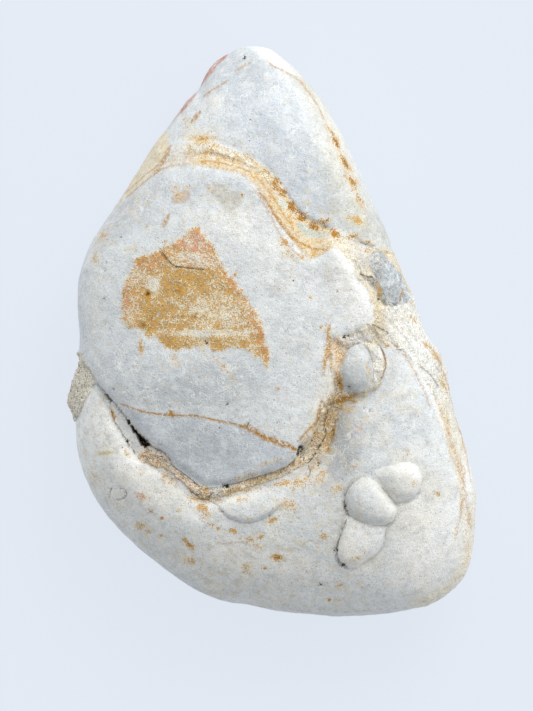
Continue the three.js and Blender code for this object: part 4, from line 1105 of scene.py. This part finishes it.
def ridge_and_matrix_colours(f):
    layers = 0.5 + 0.5 * np.sin(2 * math.pi * (5.3 * f.share + 0.30 * f.mid))
    orange = 0.10 + 0.55 * layers ** 2 * smoothstep(-0.6, 0.4, f.fine)
    smooth_edge = f.matrix * smoothstep(2.2, 1.2, -f.d["lower"]) * smoothstep(376, 392, f.px)
    hollow = f.matrix * swelling(f.x, f.y, HOLLOW, 90, 5.5, 2.4)
    near_dome = f.matrix * smoothstep(2.4, 0.6, -f.d["dome"]) * smoothstep(300, 270, f.py)
    ring = f.front * smoothstep(-0.2, 0.4, f.d["collar"]) * (1 - f.nodule)
    return [
        (RIDGE_CREAM, f.ridge),
        (RIDGE_ORANGE, f.ridge * (1 - f.crust) * orange),
        (STONE_WHITE, 0.5 * f.ridge * f.crust * smoothstep(-0.3, 0.4, f.fine)),
        (MATRIX_CREAM, f.matrix),
        (CREAM, f.matrix * smoothstep(-0.3, 0.4, f.mid) * 0.35),
        (RIDGE_CREAM, f.matrix * smoothstep(320, 380, f.py) * 0.7),
        (CREAM_SHADE, f.matrix * smoothstep(0.1, -0.6, f.folds + 0.3 * f.fine) * 0.45),
        (STONE_WHITE, 0.8 * smooth_edge),
        (FILL_BEIGE, 0.9 * hollow),
        (RIDGE_ORANGE, 0.30 * hollow),
        (CREAM, near_dome * 0.8),
        (STONE_WARM, ring * smoothstep(362, 372, f.px) * 0.8),
    ]


def fill_and_pebble_colours(f):
    """Fill of the groove and crack, the nub, the small stones and the cream bands; the crack's dark
    and the nodule's grey are partly painted shade.
    """
    veined = streaky(f.points, 60, 3.0, 0.9, 83) + 0.6 * f.fine
    pale = swelling(f.x, f.y, NODULE_LIT_SIDE, 110, 2.6, 1.5)
    streaks = 0.5 + 0.5 * np.sin(2 * math.pi * (f.d["rim"] / 0.8 + 0.5 * f.mid))
    return [
        (FILL_BEIGE, f.groove),
        (FILL_CREAM, f.groove * smoothstep(190, 225, f.px) * 0.9),
        (STONE_WHITE, f.groove * smoothstep(0.35, 0.8, f.mid) * 0.7),
        (FILL_BROWN, f.groove * smoothstep(0.0, -0.7, f.fine + 0.3 * f.mid) * 0.8),
        # Painted shade and dark soil in the crack's depth.
        (CRACK_SOIL_AND_SHADE, f.front * smoothstep(-0.2, 0.1, f.d["crack"])),
        (NUB_BEIGE, f.nub),
        (CORNER_GREY, f.corner * (0.75 - 0.4 * f.fine)),
        (BLUE_GREY, f.stone),
        (STONE_SHADE, f.stone * smoothstep(0.3, -0.7, veined)),
        (STONE_WHITE, f.stone * smoothstep(0.3, 1.0, veined) * 0.6),
        # The nodule's grey, partly its own and partly painted shade: darker on its lower left,
        # which turns from the light, paler at its lit top right.
        (NODULE_GREY_AND_SHADE, f.nodule * (0.75 - 0.5 * pale)),
        (TAN, f.front * 0.8 * smoothstep(-0.5, 0.8, f.d["side_facet"] + 0.5 * f.mid)),
        (GLASS_GREEN, f.front * f.pebble),
        (CREAM, 0.75 * f.band),
        (RIDGE_ORANGE, 0.26 * f.band * streaks * smoothstep(-0.2, 0.7, f.mid)),
    ]


def red_stain(f):
    """Share of the red stain: two crescents at the upper left rim, and a patch behind them."""
    ragged = 0.12 * f.fine + (0.15 + 0.9 * smoothstep(0, 2, f.below)) * f.mid
    crescents = np.maximum(f.d["crescent_a"], f.d["crescent_b"])
    red = smoothstep(-0.1, 0.15, crescents + ragged) * (0.85 + 0.5 * f.fine)
    away = np.hypot(f.x - RED_BACK[0], f.y - RED_BACK[1])
    behind = (1 - f.front) * smoothstep(15, 6, away + 2.5 * f.wide)
    return np.maximum(red * smoothstep(3, 0.5, f.below), behind)


def bare_tint(f):
    """Colour of the stone under its stains, with painted light and shade in its tones: colours
    laid over each other in turn.
    """
    tint = np.repeat(linear(STONE)[None], len(f.x), 0)
    layers = chalk_colours(f) + ridge_and_matrix_colours(f) + fill_and_pebble_colours(f)
    for colour, share in [*layers, *tones(f, LATE_TONES_WITH_PAINTED_SHADE, 1.2), (BACK_RED, red_stain(f))]:
        tint = blend(tint, colour, share)
    return tint * (1 + 0.04 * f.mid + 0.04 * f.fine)[:, None]


def rust_fields(f):
    """Share of the grains that are stained, and their hue from pink through orange to ochre."""
    rust, hue = PATCH_GROUND * f.patch, np.full(len(f.x), OCHRE_HUE)
    for *place, change, tone in PATCH:
        here = spot(f.x, f.y, place)
        rust = rust + change * f.patch * np.minimum(1, 1.5 * here)
        hue = hue + (tone - hue) * here
    rust = rust * (1 + 0.12 * f.mid)
    stains, tone = f.sum_of(STAINS)
    hue = np.where(stains > rust, tone, hue)
    rust = np.maximum(rust, stains * (1 + 0.3 * f.mid))
    grains, _ = f.sum_of([(*mark, GRAIN_HUE) for mark in GRAIN_BELTS])
    rust = np.maximum(rust, 0.84 * grains) * f.front
    layered = f.ridge * (0.26 + 0.24 * f.mid) + f.matrix * (0.08 + 0.18 * f.mid)
    filled, banded = f.groove * (0.26 + 0.30 * f.mid), f.band * (0.08 + 0.20 * f.mid)
    rust = np.maximum.reduce([rust, filled, layered, banded])
    hue = np.where((f.groove > 0.6) | (f.ridge > 0.5), OCHRE_HUE, hue)
    hue = np.where(grains > 0.3, GRAIN_HUE, hue)
    return rust * (1 - 0.85 * f.pebble), np.clip(hue, 0, 1.5)


def dirt_and_crack_shade_field(f):
    """How much black dirt lies in pits, and how dark the crack is with dirt and painted shade of
    its depth.
    """
    dirt_and_crack_shade = np.zeros(len(f.x))
    for mx, my, half, _, dark in PITS:
        dirt_and_crack_shade = np.maximum(dirt_and_crack_shade, dark * spot(f.x, f.y, (mx, my, 1.25 * half, 1.25 * half, 0)))
    # Painted shade in the crack's depth, with its dark dirt.
    dirt_and_crack_shade = np.maximum(dirt_and_crack_shade, 0.60 * smoothstep(-0.10, 0.25, f.d["crack"]))
    dirt_and_crack_shade = np.maximum(dirt_and_crack_shade, f.nub * smoothstep(-0.2, -0.9, f.fine) * 0.5)
    return dirt_and_crack_shade * f.front


def paint(f):
    """Colour of the stone and the fields of its stains, one value a vertex."""
    rust, hue = rust_fields(f)
    roughness = np.maximum.reduce([0.7 * f.matrix, 0.8 * f.groove, f.nub, 0.7 * f.stone,
                                   0.35 * f.ridge, 0.8 * f.ridge * f.crust, 0.35 * f.band,
                                   0.9 * f.corner, 0.35 * f.patch])
    gaps = np.maximum.reduce([0.15 * f.matrix, f.groove, 0.8 * f.nub, 0.8 * f.corner,
                              0.25 * f.ridge, 0.25 * f.stone])
    warm = 0.30 + 0.5 * f.front * smoothstep(0, 2, f.d["lower"]) + 0.35 * smoothstep(300, 200, f.py)
    clean = np.maximum(smoothstep(0, 1, f.d["facet"]), 0.8 * smoothstep(2, 6, f.d["upper"]))
    clean = np.maximum(clean, 0.75 * smoothstep(335, 385, f.px) * smoothstep(395, 430, f.py))
    warm = warm * (1 - 0.8 * f.front * clean) * (1 + 0.8 * f.wide)
    return {"tint": bare_tint(f), "rust": rust, "hue": hue, "dirt_and_crack_shade": dirt_and_crack_shade_field(f),
            "rough": roughness, "gap": gaps, "warm": np.clip(warm, 0, 1)}


# ------------------------------------------------------------------ fine relief

def fine_relief(f, coarse_share):
    """Small forms, millimetres along the surface normal."""
    points = f.points
    bumps = 0.10 * rough(points, 8.0, 41, 2) + 0.06 * rough(points, 2.4, 43, 2)
    bumps = bumps + 0.03 * rough(points, 0.9, 45, 2)
    coarse = 0.24 * rough(points, 1.9, 47, 3) + 0.26 * np.abs(rough(points, 1.0, 53, 2))
    bumps = bumps + coarse_share * coarse
    bumps = bumps + f.matrix * 0.30 * np.minimum(0.3, f.folds)
    bumps = bumps + f.stone * 0.25 * streaky(points, 60, 4.0, 0.9, 83)
    for mx, my, half, deep, _ in PITS:
        bumps = bumps - f.front * deep * spot(f.x, f.y, (mx, my, 1.4 * half, 1.4 * half, 0))
    away = np.hypot(f.px - CRATER[0], f.py - CRATER[1]) * PX_MM
    wall = 0.16 * np.exp(-((away - 0.75) / 0.3) ** 2)
    return bumps + f.front * (wall - 0.12 * np.exp(-(away / 0.5) ** 2))


# ------------------------------------------------------------------ the stone

def inner_points(cells):
    """Which points of a grid don't lie on its rim."""
    row, column = np.divmod(np.arange((cells[0] + 1) * (cells[1] + 1)), cells[1] + 1)
    return (row > 0) & (row < cells[0]) & (column > 0) & (column < cells[1])


def stone_field(points, x, y, z, d, is_front):
    """Everything the material reads, one value a vertex, and the fields it came from."""
    below = np.maximum(0, waist_at(x, y) - z) * (1 - is_front)
    front = np.where(is_front == 1, 1, smoothstep(1.5, 0, below))
    f = Field(points, x, y, d, front, below)
    field = paint(f)
    for name, lines in (("line", RUST_LINES), ("hair", CRACKS_AND_CREASE_SHADE)):
        field[name], strength = line_fields(x, y, lines)
        field[name + "_on"] = strength * front
    return f, field


def stone_mesh():
    body = Body()
    fx, fy, fo, fa = disc_grid(body, FRONT_CELLS, RIM_SHARE)
    height, d = front_form(fx, fy)
    fz = waist_at(fx, fy) + height * fullness(fo, fa)
    keep = inner_points(BACK_CELLS)
    bx, by, bo, _ = (values[keep] for values in disc_grid(body, BACK_CELLS, RIM_SHARE))
    _, back_d = front_form(bx, by)
    x, y, z = np.r_[fx, bx], np.r_[fy, by], np.r_[fz, back_height(bx, by, bo)]
    d = {name: np.r_[d[name], back_d[name]] for name in d}
    points = np.stack([x, y, z], 1)
    f, field = stone_field(points, x, y, z, d, np.arange(len(x)) < len(fx))

    front_faces = faces_of_front(FRONT_CELLS)
    back_faces = faces_of_back(BACK_CELLS, FRONT_CELLS, len(fx))
    every = np.vstack([front_faces, np.array([quad_of(face) for face in back_faces])])
    relief = fine_relief(f, field["rough"])
    relief = relief - 0.18 * field["hair_on"] * np.exp(-(field["hair"] / 1.2) ** 2)
    resting = smoothstep(0.0, 1.5, z)
    points = points + vertex_normals(points, every) * (relief * resting)[:, None]
    points[:, :2] += body.shift
    points[:, 2] = np.maximum(points[:, 2], 0)
    return fit_in_box(points * MM), front_faces.tolist() + back_faces, field


def quad_of(face):
    """Four corners of a face that may have extra rim points."""
    picks = [0, len(face) // 4, len(face) // 2, 3 * len(face) // 4]
    return [face[k] for k in picks]


def fit_in_box(points):
    """The fine relief may not pass the box of the solid that it replaces."""
    low, high = (np.array(corner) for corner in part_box(NODE))
    own_low, own_high = points.min(0), points.max(0)
    scale = (high - low) / (own_high - own_low)
    return low + (points - own_low) * scale


def new_object(name, data):
    thing = bpy.data.objects.new(name, data)
    bpy.context.scene.collection.objects.link(thing)
    return thing


def new_material(name):
    material = bpy.data.materials.new(name)
    material.use_nodes = True
    return material, material.node_tree.nodes["Principled BSDF"]


def make_stone():
    points, faces, field = stone_mesh()
    mesh = bpy.data.meshes.new("menilite_stone")
    mesh.from_pydata(points.tolist(), [], faces)
    mesh.update()
    mesh.polygons.foreach_set("use_smooth", [True] * len(mesh.polygons))
    for name, values in field.items():
        if values.ndim == 2:
            layer = mesh.color_attributes.new(name, "FLOAT_COLOR", "POINT")
            layer.data.foreach_set("color", np.c_[values, np.ones(len(values))].ravel())
        else:
            layer = mesh.attributes.new(name, "FLOAT", "POINT")
            layer.data.foreach_set("value", values)
    mesh.materials.append(stone_material())
    return new_object("menilite_stone", mesh)


# ------------------------------------------------------------------ material

class Nodes:
    """A short way to write a node tree: each call makes a node and gives its output back."""

    def __init__(self, tree):
        self.tree = tree

    def put(self, socket, value):
        if isinstance(value, bpy.types.NodeSocket):
            self.tree.links.new(value, socket)
        else:
            socket.default_value = value

    def math(self, operation, a, b=0.0, c=0.0):
        node = self.tree.nodes.new("ShaderNodeMath")
        node.operation = operation
        for socket, value in zip(node.inputs, (a, b, c)):
            self.put(socket, value)
        return node.outputs[0]

    def times(self, a, b):
        return self.math("MULTIPLY", a, b)

    def plus(self, a, b):
        return self.math("ADD", a, b)

    def minus(self, a, b):
        return self.math("SUBTRACT", a, b)

    def ramp(self, value, low, high, to_low=0.0, to_high=1.0):
        node = self.tree.nodes.new("ShaderNodeMapRange")
        node.interpolation_type = "SMOOTHSTEP"
        for name, v in (("Value", value), ("From Min", low), ("From Max", high),
                        ("To Min", to_low), ("To Max", to_high)):
            self.put(node.inputs[name], v)
        return node.outputs["Result"]

    def field(self, name):
        node = self.tree.nodes.new("ShaderNodeAttribute")
        node.attribute_name = name
        return node.outputs["Color" if name == "tint" else "Fac"]

    def place_mm(self):
        where = self.tree.nodes.new("ShaderNodeTexCoord")
        return self.scale(where.outputs["Object"], 1 / MM)

    def scale(self, vector, factor):
        node = self.tree.nodes.new("ShaderNodeVectorMath")
        node.operation = "SCALE"
        self.put(node.inputs[0], vector)
        self.put(node.inputs["Scale"], factor)
        return node.outputs[0]

    def noise(self, place, size, detail=2.0, roughness=0.5):
        node = self.tree.nodes.new("ShaderNodeTexNoise")
        self.put(node.inputs["Vector"], place)
        self.put(node.inputs["Scale"], 1 / size)
        self.put(node.inputs["Detail"], detail)
        self.put(node.inputs["Roughness"], roughness)
        return node.outputs["Fac"]

    def cells(self, place, size):
        node = self.tree.nodes.new("ShaderNodeTexVoronoi")
        self.put(node.inputs["Vector"], place)
        self.put(node.inputs["Scale"], 1 / size)
        return node.outputs["Distance"]

    def mix(self, share, a, b):
        node = self.tree.nodes.new("ShaderNodeMix")
        node.data_type = "RGBA"
        self.put(node.inputs["Factor"], share)
        for key, value in (("A", a), ("B", b)):
            socket = [s for s in node.inputs if s.name == key and s.type == "RGBA"][0]
            plain = not isinstance(value, bpy.types.NodeSocket)
            self.put(socket, (*linear(value), 1) if plain else value)
        return [s for s in node.outputs if s.type == "RGBA"][0]


# Noises the material shares, from fine to broad: size in millimetres, detail and roughness.
GRAINS = [(0.22, 1.0, 0.5), (0.60, 2.0, 0.6), (1.6, 3.0, 0.6), (5.0, 2.0, 0.5)]
# How much each of them darkens and lightens the plain and the rough parts.
CONTRASTS = [(0.62, 1.50), (0.36, 1.00), (0.20, 0.30), (0.14, 0.14)]
BUMP_MM = 0.22


def stone_grain(n, place, sizes):
    """Tinted stone with specks, clouds, scratches and, on the rough parts, dark gaps."""
    medium, blotch = sizes[2:]
    rough = n.field("rough")
    tone = 1.0
    for noise, (plain, coarse) in zip(sizes, CONTRASTS):
        share = n.ramp(rough, 0.0, 1.0, plain, coarse)
        tone = n.math("MULTIPLY_ADD", n.minus(noise, 0.5), share, tone)
    colour = n.scale(n.field("tint"), tone)

    veins = n.math("ABSOLUTE", n.minus(n.noise(place, 0.95, 2.0, 0.6), 0.5))
    gaps = n.times(n.ramp(veins, 0.045, 0.0), n.ramp(medium, 0.36, 0.54))
    gaps = n.times(gaps, n.field("gap"))
    colour = n.mix(gaps, colour, GAP_BROWN)

    smooth, smoothest = n.ramp(rough, 0.1, 0.6, 1.0, 0.3), n.ramp(rough, 0.1, 0.5, 1.0, 0.15)
    for stretch, size, detail, low, high, most, where, own in (
            (1.31, 2.0, 4.0, 0.50, 0.68, 0.55, n.field("warm"), MOTTLE),
            (1.13, 2.2, 4.0, 0.50, 0.66, 0.40, smooth, STONE_WHITE),
            (0.91, 1.7, 3.0, 0.54, 0.70, 0.28, smoothest, STONE_SHADE)):
        cloud = n.ramp(n.noise(n.scale(place, stretch), size, detail), low, high, 0.0, most)
        colour = n.mix(n.times(cloud, where), colour, own)

    for factor, size in ((1.0, 2.4), (0.77, 1.5)):
        curl = n.noise(n.scale(place, factor), size, 1.0)
        curl = n.math("ABSOLUTE", n.minus(curl, 0.5))
        share = n.times(n.ramp(curl, 0.016, 0.0), n.ramp(blotch, 0.42, 0.56, 0.0, 0.8))
        colour = n.mix(share, colour, STONE_WHITE)
    flecks = n.ramp(n.cells(place, 0.75), 0.22, 0.08)
    pepper = n.times(flecks, n.ramp(n.noise(place, 3.2, 1.0), 0.56, 0.72))
    dots = n.ramp(n.cells(n.scale(place, 1.07), 1.3), 0.20, 0.08)
    dots = n.times(dots, n.ramp(medium, 0.48, 0.62, 0.0, 0.6))
    colour = n.mix(n.times(dots, n.field("warm")), colour, STAIN_OCHRE)
    colour = n.mix(n.times(pepper, 0.5), colour, PEPPER)
    return colour, pepper


def stained(n, colour, sizes):
    """Rust: a soft tan halo, and grains stained where the field passes their own threshold."""
    fine, small, medium, _ = sizes
    rust, hue = n.field("rust"), n.field("hue")
    colour = n.mix(n.ramp(rust, 0.05, 0.75, 0.0, 0.75), colour, TAN)
    grain = n.math("MULTIPLY_ADD", fine, 1.5, n.math("MULTIPLY_ADD", small, 1.3, -1.35))
    grain = n.math("MULTIPLY_ADD", medium, 0.9, grain)
    share = n.ramp(n.minus(rust, grain), -0.16, 0.22)
    own = n.mix(n.ramp(hue, 0.0, 0.5), STAIN_PINK, STAIN_ORANGE)
    own = n.mix(n.ramp(hue, 0.45, 1.0), own, STAIN_OCHRE)
    own = n.mix(n.ramp(hue, 1.0, 1.5), own, STAIN_BROWN)
    own = n.scale(own, n.ramp(small, 0.34, 0.66, 1.45, 0.72))
    share = n.times(share, n.ramp(hue, 0.95, 1.3, 0.82, 1.0))
    colour = n.mix(share, colour, own)
    dark = n.times(n.ramp(hue, 1.0, 1.4, 0.0, 0.8), n.ramp(small, 0.54, 0.64))
    return n.mix(n.times(n.times(dark, share), 0.7), colour, STAIN_DARK)


def seams_cracks_and_crease_shade(n, place, colour, sizes):
    """Thin stained seams, broken into grains, hairline cracks, and painted shade along the creases
    at the feet of pads and lumps.
    """
    fine, small = sizes[:2]
    wobble = n.math("MULTIPLY_ADD", n.noise(place, 0.7, 2.0), 2.4, -1.2)
    seam = n.math("ABSOLUTE", n.plus(n.field("line"), wobble))
    seam = n.times(n.ramp(seam, 2.2, 0.2), n.field("line_on"))
    worn = n.plus(small, n.times(fine, 0.5))
    seam = n.times(seam, n.ramp(worn, 0.70, 0.96, 1.0, 0.15))
    colour = n.mix(seam, colour, SEAM_BROWN)
    # Cracks, and painted shade along creases.
    hair = n.math("ABSOLUTE", n.math("MULTIPLY_ADD", wobble, 0.5, n.field("hair")))
    hair = n.times(n.ramp(hair, 1.5, 0.4), n.field("hair_on"))
    hair = n.times(hair, n.ramp(n.noise(place, 0.8, 2.0), 0.36, 0.54, 0.35, 1.0))
    return n.mix(n.times(hair, 0.9), colour, CRACK_AND_SHADE_BROWN), hair


def stone_material():
    """Chalky matte stone: tinted, with painted light and shade in its tints, grained, flecked,
    stained grain by grain and cracked, with painted shade in its creases and its crack.
    """
    material, shader = new_material("menilite_stone")
    tree = material.node_tree
    n = Nodes(tree)
    place = n.place_mm()
    sizes = [n.noise(place, *kind) for kind in GRAINS]
    fine, small = sizes[:2]
    colour, pepper = stone_grain(n, place, sizes)
    colour = stained(n, colour, sizes)
    colour, hair = seams_cracks_and_crease_shade(n, place, colour, sizes)
    # Black dirt in the pits, and dirt with painted shade in the crack.
    dirt_and_crack_shade = n.minus(n.field("dirt_and_crack_shade"), n.math("MULTIPLY_ADD", fine, 1.7, -0.40))
    colour = n.mix(n.ramp(dirt_and_crack_shade, -0.15, 0.18), colour, SOOT)
    tree.links.new(colour, shader.inputs["Base Color"])

    n.put(shader.inputs["Roughness"], n.ramp(fine, 0.3, 0.7, 0.78, 0.95))
    shader.inputs["Specular IOR Level"].default_value = 0.3
    bump = tree.nodes.new("ShaderNodeBump")
    bump.inputs["Distance"].default_value = BUMP_MM * MM
    rough = n.field("rough")
    height = n.times(fine, n.ramp(rough, 0.0, 1.0, 0.35, 1.0))
    height = n.plus(height, n.times(small, n.ramp(rough, 0.0, 1.0, 0.5, 2.2)))
    height = n.minus(height, n.times(hair, 0.9))
    height = n.minus(height, n.times(pepper, 0.3))
    n.put(bump.inputs["Height"], height)
    tree.links.new(bump.outputs["Normal"], shader.inputs["Normal"])
    return material


# ------------------------------------------------------------------ floor, light and camera

def floor_material():
    """A light table: part of its brightness is its own, so that the stone's shadow stays pale."""
    material, shader = new_material("pale_floor")
    shader.inputs["Base Color"].default_value = (*(linear(FLOOR) * (1 - FLOOR_GLOW)), 1)
    shader.inputs["Emission Color"].default_value = (*linear(FLOOR), 1)
    shader.inputs["Emission Strength"].default_value = FLOOR_GLOW
    shader.inputs["Roughness"].default_value = 1.0
    shader.inputs["Specular IOR Level"].default_value = 0.0
    return material


def make_floor():
    corners = [(x * FLOOR_HALF, y * FLOOR_HALF, 0) for x, y in ((-1, -1), (1, -1), (1, 1), (-1, 1))]
    mesh = bpy.data.meshes.new("floor")
    mesh.from_pydata(corners, [], [(0, 1, 2, 3)])
    mesh.materials.append(floor_material())
    new_object("floor", mesh)


def make_window():
    light = bpy.data.lights.new("window", "AREA")
    light.shape = "DISK"
    light.size = WINDOW_SIZE
    light.energy = WINDOW_WATTS
    light.color = WINDOW_COLOUR
    window = new_object("window", light)
    window.location = WINDOW_PLACE
    towards = Vector((0, 0, LIT_HEIGHT)) - window.location
    window.rotation_euler = towards.to_track_quat("-Z", "Y").to_euler()


def make_light():
    """A white room, brighter at the photograph's top and a little at its right, and a soft
    window there."""
    world = bpy.data.worlds.new("studio")
    bpy.context.scene.world = world
    world.use_nodes = True
    tree = world.node_tree
    n = Nodes(tree)
    where = tree.nodes.new("ShaderNodeTexCoord")
    towards = tree.nodes.new("ShaderNodeVectorMath")
    towards.operation = "DOT_PRODUCT"
    n.put(towards.inputs[0], where.outputs["Generated"])
    n.put(towards.inputs[1], BRIGHT_SIDE)
    level = n.math("MULTIPLY_ADD", towards.outputs["Value"], ROOM_CONTRAST * ROOM_LEVEL, ROOM_LEVEL)
    seen = tree.nodes.new("ShaderNodeLightPath").outputs["Is Camera Ray"]
    level = n.plus(n.times(level, n.minus(1.0, seen)), seen)
    sky = tree.nodes["Background"]
    sky.inputs["Color"].default_value = (*ROOM_COLOUR, 1)
    n.put(sky.inputs["Strength"], level)
    make_window()
    bpy.context.scene.view_settings.view_transform = "Standard"


def make_camera():
    """Straight above, so that the photograph's frame fits at the height of the waist."""
    height_mm = FRAME_PX[1] * PX_MM
    camera = bpy.data.cameras.new("camera")
    camera.sensor_fit = "VERTICAL"
    camera.sensor_height = SENSOR_MM
    camera.lens = SENSOR_MM * EYE_DISTANCE / (height_mm * MM)
    camera.clip_end = FARTHEST
    eye = new_object("camera", camera)
    across = (FRAME_PX[0] / 2 - MIDDLE_PX[0]) * PX_MM
    up = (MIDDLE_PX[1] - FRAME_PX[1] / 2) * PX_MM
    eye.location = (across * MM, up * MM, WAIST * MM + EYE_DISTANCE)
    bpy.context.scene.camera = eye


# ------------------------------------------------------------------ the scene

stone = make_stone()
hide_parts(NODE)
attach(stone, BODY)
make_floor()
make_light()
make_camera()
